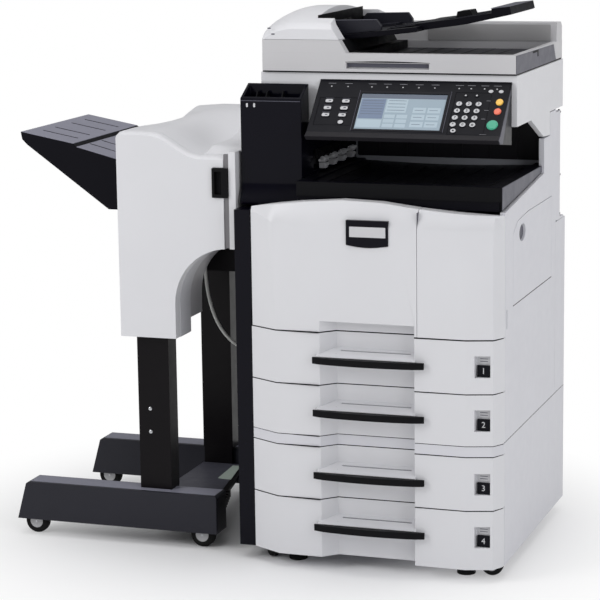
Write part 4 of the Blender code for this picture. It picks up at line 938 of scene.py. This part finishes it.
# ---------------------------------------------------------------- output tray and exit
def output_space():
    end = bmesh.new()
    add_prism(end, ((0.0064, 0.7960), (0.0064, 0.8435), (0.4180, 0.8435), (0.4235, 0.8360),
                    (0.4235, 0.8335), (0.3660, 0.8300)),
              0.5936, 0.5948, "x")
    piece("output_tray_end", end, "lilac", "machine", 0.0003, slot="inner_tray")
    face = bmesh.new()
    add_box(face, 0.1446, 0.5936, 0.0048, 0.0058, 0.8136, 0.8432)
    piece("output_tray_front_face", face, "matt", "machine", slot="inner_tray")
    ribs = bmesh.new()
    for k in range(9):
        x = 0.2000 + 0.044 * k
        u = (x - 0.160) / 0.430
        z = 0.8405 - 0.0060 * math.sin(math.pi * u)
        add_box(ribs, x, x + 0.0022, 0.060, 0.360, z - 0.0008, z + 0.0010)
    piece("output_tray_ribs", ribs, "matt", "machine", 0.0003, slot="inner_tray")
    pinch = bmesh.new()
    for k in range(4):
        y = 0.1582 + 0.065 * k
        add_box(pinch, 0.1440, 0.1580, y + 0.003, y + 0.023, 0.8520, 0.8640)
        add_turned(pinch, ((0.0, 0.0045), (0.018, 0.0045)), (0.1570, y + 0.004, 0.8600), (0, 1, 0), 18)
    piece("exit_pinch_rollers", pinch, "mark", "machine", 0.0006, slot="exit_roller")
    ledge = bmesh.new()
    add_box(ledge, 0.1425, 0.1460, 0.1380, 0.4120, 0.8770, 0.8960)
    for k in range(5):
        y = 0.1500 + 0.055 * k
        add_box(ledge, 0.1455, 0.1600, y, y + 0.0030, 0.8800, 0.8920)
    piece("exit_fingers", ledge, "matt", "machine", 0.0005, slot="bridge_unit")
    wall = bmesh.new()
    add_prism(wall, rounded(0.1500, 0.5860, 0.8480, 0.9400, 0.003), 0.4286, 0.4298, "y")
    for k in range(6):
        x = 0.200 + 0.065 * k
        add_box(wall, x, x + 0.0025, 0.4270, 0.4290, 0.8500, 0.9380)
    piece("output_back_wall", wall, "charcoal", "machine", 0.0003, slot="main_frame")


# ---------------------------------------------------------------- finisher
ARC_X = -0.022
ARC_Z = 0.558
ARC_R = 0.128


def arc(radius, steps=24):
    return [(ARC_X + radius * math.cos(math.pi - math.pi / 2 * k / steps),
             ARC_Z + radius * math.sin(math.pi - math.pi / 2 * k / steps)) for k in range(steps + 1)]


def arc_skin(name, low_z, y0, y1, look, thick=0.0010):
    """A thin skin along the quarter arc over the docking gap and down its straight leg."""
    outer = [(ARC_X - ARC_R - thick + 0.0006, low_z)] + arc(ARC_R + thick - 0.0006)
    inner = [(ARC_X - ARC_R + 0.0006, low_z)] + arc(ARC_R - 0.0006)
    mesh = bmesh.new()
    add_prism(mesh, outer + list(reversed(inner)), y0, y1, "y")
    piece(name, mesh, look, "machine", slot="finisher_body")


def finisher_details():
    # painted light and shade: the inner band takes the shaded white, the rear band the darker recess grey,
    # lit and shaded copies of the cover white
    arc_skin("arc_band_inner", 0.4804, 0.0572, 0.1196, "shaded_white")
    arc_skin("arc_band_rear", 0.5124, 0.1204, 0.1896, "inner")
    leg = bmesh.new()
    add_box(leg, -0.2815, -0.1502, 0.0572, 0.1196, 0.4794, 0.4802)
    piece("finisher_leg_sole", leg, "shade", "machine", slot="finisher_body")
    strip = bmesh.new()
    add_box(strip, -0.0308, -0.0192, 0.0320, 0.0420, 0.6880, 0.8930)
    piece("finisher_groove", strip, "shade", "machine", slot="finisher_body")
    latch = bmesh.new()
    for k in range(5):
        x = -0.0484 + 0.0036 * k
        add_box(latch, x, x + 0.0012, 0.0325, 0.0343, 0.8080, 0.8540)
    piece("latch_ribs", latch, "panel", "finisher_cover", slot="finisher_handle")
    plate = bmesh.new()
    add_prism(plate, ((-0.2520, 0.0980), (-0.0930, 0.0980), (-0.1080, 0.1500), (-0.1380, 0.3300),
                      (-0.1600, 0.4380), (-0.2520, 0.4380)),
              0.0881, 0.0893, "z")
    piece("stand_floor_plate", plate, "lilac", "machine", 0.0004, slot="finisher_stand")
    bracket = bmesh.new()
    for k in range(5):
        y = 0.0990 + 0.0210 * k
        x = -0.0800 - 0.0055 * k
        add_box(bracket, x - 0.004, x + 0.012, y, y + 0.010, 0.0802, 0.0960)
    piece("stand_dock_bracket", bracket, "powder", "machine", 0.0010, slot="finisher_stand")
    glass = bmesh.new()
    add_prism(glass, ((-0.1640, 0.3050), (-0.1300, 0.3000), (-0.1500, 0.4200), (-0.1700, 0.4200)), 0.0894,
              0.0906, "z")
    piece("stand_label_plate", glass, "green_plate", "machine", 0.0003, slot="finisher_stand")
    screws = bmesh.new()
    for z in (0.3110, 0.2580):
        add_turned(screws, ((0.0, 0.0046), (0.0016, 0.0040), (0.0026, 0.0022)), (-0.2270, 0.0562, z),
                   (0, -1, 0), 20)
    for z in (0.5620, 0.5900):
        add_turned(screws, ((0.0, 0.0040), (0.0014, 0.0034), (0.0022, 0.0018)), (-0.1772, 0.4700, z),
                   (1, 0, 0), 20)
    piece("stand_screws", screws, "zinc", "machine", slot="finisher_stand")
    # painted sheen: lighter skins on the feet's top faces
    tops = bmesh.new()
    for y0, y1 in ((0.0300, 0.0930), (0.4500, 0.5130)):
        add_box(tops, -0.5220, -0.0700, y0 + 0.0080, y1 - 0.0030, 0.1258, 0.1266)
    piece("foot_top_painted_sheen", tops, "skin", "machine", 0.0003, slot="finisher_foot_front")
    caps = bmesh.new()
    for y0, y1 in ((0.0300, 0.0930), (0.4500, 0.5130)):
        add_prism(caps, rounded(y0 + 0.004, y1 - 0.004, 0.0420, 0.1180, 0.004), -0.0643, -0.0633, "x")
    piece("foot_end_caps", caps, "panel", "machine", 0.0004, slot="finisher_foot_front")


def finisher_tray_details():
    def top(x):
        if x < -0.400:
            return 0.9010 + (x + 0.406) * (0.9250 - 0.9010) / (-0.5350 + 0.406)
        return 0.8940 + (x + 0.400) * (0.8640 - 0.8940) / (-0.2828 + 0.400)
    # painted sheen: lighter skins on the stacking trays' top faces
    low = bmesh.new()
    add_surface(low, [-0.5330 + 0.0126 * k for k in range(11)], [0.0808, 0.1500, 0.2300, 0.3400, 0.4490],
                lambda x, y: top(x) + 0.0008, lambda x, y: top(x) - 0.0008)
    piece("stack_tray_low_painted_sheen", low, "skin", "finisher_tray", 0.0004, slot="finisher_tray")
    high = bmesh.new()
    add_surface(high, [-0.3990 + 0.0116 * k for k in range(11)], [0.0808, 0.1500, 0.2300, 0.3400, 0.4490],
                lambda x, y: top(x) + 0.0008, lambda x, y: top(x) - 0.0008)
    piece("stack_tray_high_painted_sheen", high, "skin", "finisher_tray", 0.0004, slot="finisher_tray")
    grooves = bmesh.new()
    for y in (0.1450, 0.2100, 0.3000, 0.3750):
        for x0, x1 in ((-0.5100, -0.4250), (-0.3950, -0.2900)):
            add_loop_solid(grooves, [Vector((x0, y, top(x0) + 0.0004)),
                                     Vector((x0, y + 0.0030, top(x0) + 0.0004)),
                                     Vector((x0, y + 0.0030, top(x0) + 0.0016)),
                                     Vector((x0, y, top(x0) + 0.0016))],
                           [Vector((x1, y, top(x1) + 0.0004)), Vector((x1, y + 0.0030, top(x1) + 0.0004)),
                            Vector((x1, y + 0.0030, top(x1) + 0.0016)), Vector((x1, y, top(x1) + 0.0016))])
    piece("stack_tray_ridges", grooves, "slate", "finisher_tray", slot="finisher_tray")


def interface_cable():
    """The light signal cable between the finisher and the main unit, along the route of its solid."""
    ends = (Vector((-0.1530, 0.2240, 0.6300)), Vector((-0.1530, 0.2150, 0.4700)),
            Vector((-0.0900, 0.2300, 0.4000)), Vector((0.0008, 0.2500, 0.4100)))
    steps = 48
    route = []
    for k in range(steps + 1):
        t = k / steps
        u = 1 - t
        route.append(ends[0] * u ** 3 + ends[1] * 3 * u * u * t + ends[2] * 3 * u * t * t + ends[3] * t ** 3)
    curve = bpy.data.curves.new("signal_cable", "CURVE")
    curve.dimensions = "3D"
    curve.bevel_depth = 0.0038
    curve.bevel_resolution = 4
    curve.use_fill_caps = True
    spline = curve.splines.new("POLY")
    spline.points.add(len(route) - 1)
    for spot, place in zip(spline.points, route):
        spot.co = (*(place + DATUM), 1.0)
    curve.materials.append(M["cable"])
    cable = bpy.data.objects.new("signal_cable", curve)
    bpy.context.scene.collection.objects.link(cable)
    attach(cable, "machine")
    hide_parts("interface_cable")
    collars = bmesh.new()
    add_turned(collars, ((0.0, 0.0064), (0.004, 0.0064), (0.022, 0.0046)),
               route[0] + Vector((0, 0, -0.0005)), (0, 0, -1), 20)
    add_turned(collars, ((0.0, 0.0064), (0.003, 0.0064), (0.018, 0.0046)),
               route[-1] + Vector((0.0012, 0, 0)), (-1, -0.15, 0), 20)
    piece("cable_collars", collars, "lilac", "machine", 0.0004, slot="interface_cable")


# ---------------------------------------------------------------- running gear
def wheel_hubs():
    """Grey hubs and axle caps on every caster wheel."""
    for name in frame["nodes"]:
        if not name.startswith(("caster_wheel", "finisher_wheel")):
            continue
        x0, x1, y0, y1, z0, z1 = span(name)
        centre = Vector(((x0 + x1) / 2, (y0 + y1) / 2, (z0 + z1) / 2))
        radius = (z1 - z0) / 2
        across = (1, 0, 0) if (x1 - x0) < (y1 - y0) else (0, 1, 0)
        half = min(x1 - x0, y1 - y0) / 2
        hub = bmesh.new()
        start = centre - Vector(across) * (half + 0.0006)
        add_turned(hub, ((0.0, 0.0040), (0.0004, radius * 0.50), (0.0008, radius * 0.60),
                         (2 * half + 0.0004, radius * 0.60),
                         (2 * half + 0.0008, radius * 0.50), (2 * half + 0.0012, 0.0040)), start, across, 32)
        piece(name + "_hub", hub, "hub", BODY_OF[name], slot=name)
        bolt = bmesh.new()
        add_turned(bolt, ((0.0, 0.0028), (2 * half + 0.0026, 0.0028)),
                   centre - Vector(across) * (half + 0.0013), across, 6)
        piece(name + "_axle", bolt, "zinc", BODY_OF[name], 0.0003, slot=name)


def levelling_nuts():
    for side, x in (("left", 0.127), ("right", 0.510)):
        nut = bmesh.new()
        add_turned(nut, ((0.0, 0.0115), (0.0060, 0.0115)), (x, 0.035, 0.0180), (0, 0, 1), 6)
        piece(f"levelling_nut_{side}", nut, "zinc", f"levelling_foot_{side}", 0.0006,
              slot=f"levelling_foot_{side}")
        pad = bmesh.new()
        add_turned(pad, ((0.0, 0.0196), (0.0014, 0.0204), (0.0040, 0.0204), (0.0046, 0.0200)),
                   (x, 0.035, 0.0002), (0, 0, 1), 32)
        piece(f"levelling_pad_{side}", pad, "rubber", f"levelling_foot_{side}", slot=f"levelling_foot_{side}")


# ---------------------------------------------------------------- back
def back_details():
    _, _, _, back, _, _ = span("rear_cover")
    vents = bmesh.new()
    for x0 in (0.110, 0.400):
        for k in range(12):
            z = 0.560 + 0.0095 * k
            add_prism(vents, rounded(x0, x0 + 0.110, z, z + 0.0045, 0.0020), back - 0.0006, back + 0.0, "y")
    for k in range(9):
        add_prism(vents, rounded(0.250 + 0.018 * k, 0.2555 + 0.018 * k, 0.8200, 0.9050, 0.0025), 0.5292,
                  0.5300, "y")
    piece("rear_vents", vents, "matt", "machine", slot="rear_cover")
    screws = bmesh.new()
    for x in (0.062, 0.578):
        for z in (0.330, 0.500, 0.670):
            add_turned(screws, ((0.0, 0.0042), (0.0004, 0.0040), (0.0008, 0.0020)), (x, back - 0.0008, z),
                       (0, 1, 0), 18)
    for x in (0.070, 0.570):
        for z in (0.090, 0.265):
            add_turned(screws, ((0.0, 0.0042), (0.0004, 0.0040), (0.0008, 0.0020)), (x, back - 0.0008, z),
                       (0, 1, 0), 18)
    piece("rear_screws", screws, "zinc", "machine", slot="rear_cover")
    inlet = bmesh.new()
    add_prism(inlet, rounded(0.505, 0.553, 0.345, 0.378, 0.003), back - 0.0008, back, "y")
    piece("mains_inlet_frame", inlet, "matt", "machine", 0.0002, slot="rear_cover")
    ports = bmesh.new()
    for k, wide in enumerate((0.016, 0.016, 0.030)):
        x = 0.425 - 0.045 * k
        add_prism(ports, rounded(x, x + wide, 0.350, 0.364, 0.0012), back - 0.0008, back, "y")
    piece("signal_ports", ports, "lilac", "machine", 0.0002, slot="rear_cover")
    plate = bmesh.new()
    add_prism(plate, rounded(0.160, 0.260, 0.345, 0.395, 0.002), back - 0.0008, back - 0.0001, "y")
    piece("rear_blank_plate", plate, "zinc", "machine", slot="rear_cover")
    holds = bmesh.new()
    for x in (0.090, 0.430):
        add_prism(holds, rounded(x, x + 0.100, 0.200, 0.228, 0.008), back - 0.0007, back, "y")
    piece("rear_hand_holds", holds, "shade", "machine", slot="feeder_cabinet")


def inside_details():
    """What shows behind the open front door: a lever and a knob on the drum unit's face, a toner mouth, a
    sheet on the inner wall.
    """
    lever = bmesh.new()
    add_prism(lever, rounded(0.4150, 0.4550, 0.6100, 0.6220, 0.004), 0.0180, 0.0262, "y")
    piece("release_lever", lever, "green", "machine", 0.0010, slot="drum_unit")
    knob = bmesh.new()
    add_turned(knob, ((0.0, 0.0120), (0.008, 0.0120), (0.010, 0.0100)), (0.5300, 0.0300, 0.6200),
               (0, -1, 0), 28)
    add_box(knob, 0.5285, 0.5315, 0.0180, 0.0300, 0.6100, 0.6300)
    piece("jam_release_knob", knob, "green", "machine", 0.0008, slot="drum_unit")
    cap = bmesh.new()
    add_turned(cap, ((0.0, 0.0200), (0.0040, 0.0200), (0.0060, 0.0180)), (0.1500, 0.0280, 0.7220),
               (0, -1, 0), 28)
    add_box(cap, 0.1485, 0.1515, 0.0190, 0.0250, 0.7060, 0.7380)
    piece("toner_cap", cap, "charcoal", "machine", 0.0006, slot="toner_container")
    sheet = bmesh.new()
    add_prism(sheet, ((0.060, 0.540), (0.225, 0.540), (0.225, 0.700), (0.060, 0.700)), 0.4900, 0.4908, "y")
    piece("inner_wall_sheet", sheet, "zinc", "machine", slot="main_frame")


for node_name, node_object in frame["nodes"].items():
    dress_node(node_name, node_object)


for number in range(1, 5):
    drawer_details(number)
badge()
door_inside()
door_gasket()
right_side()
control_panel()
document_feeder()
feeder_cover()
original_tray()
bridge()
output_space()
finisher_details()
finisher_tray_details()
interface_cable()
wheel_hubs()
levelling_nuts()
back_details()
inside_details()

make_camera()
make_studio()
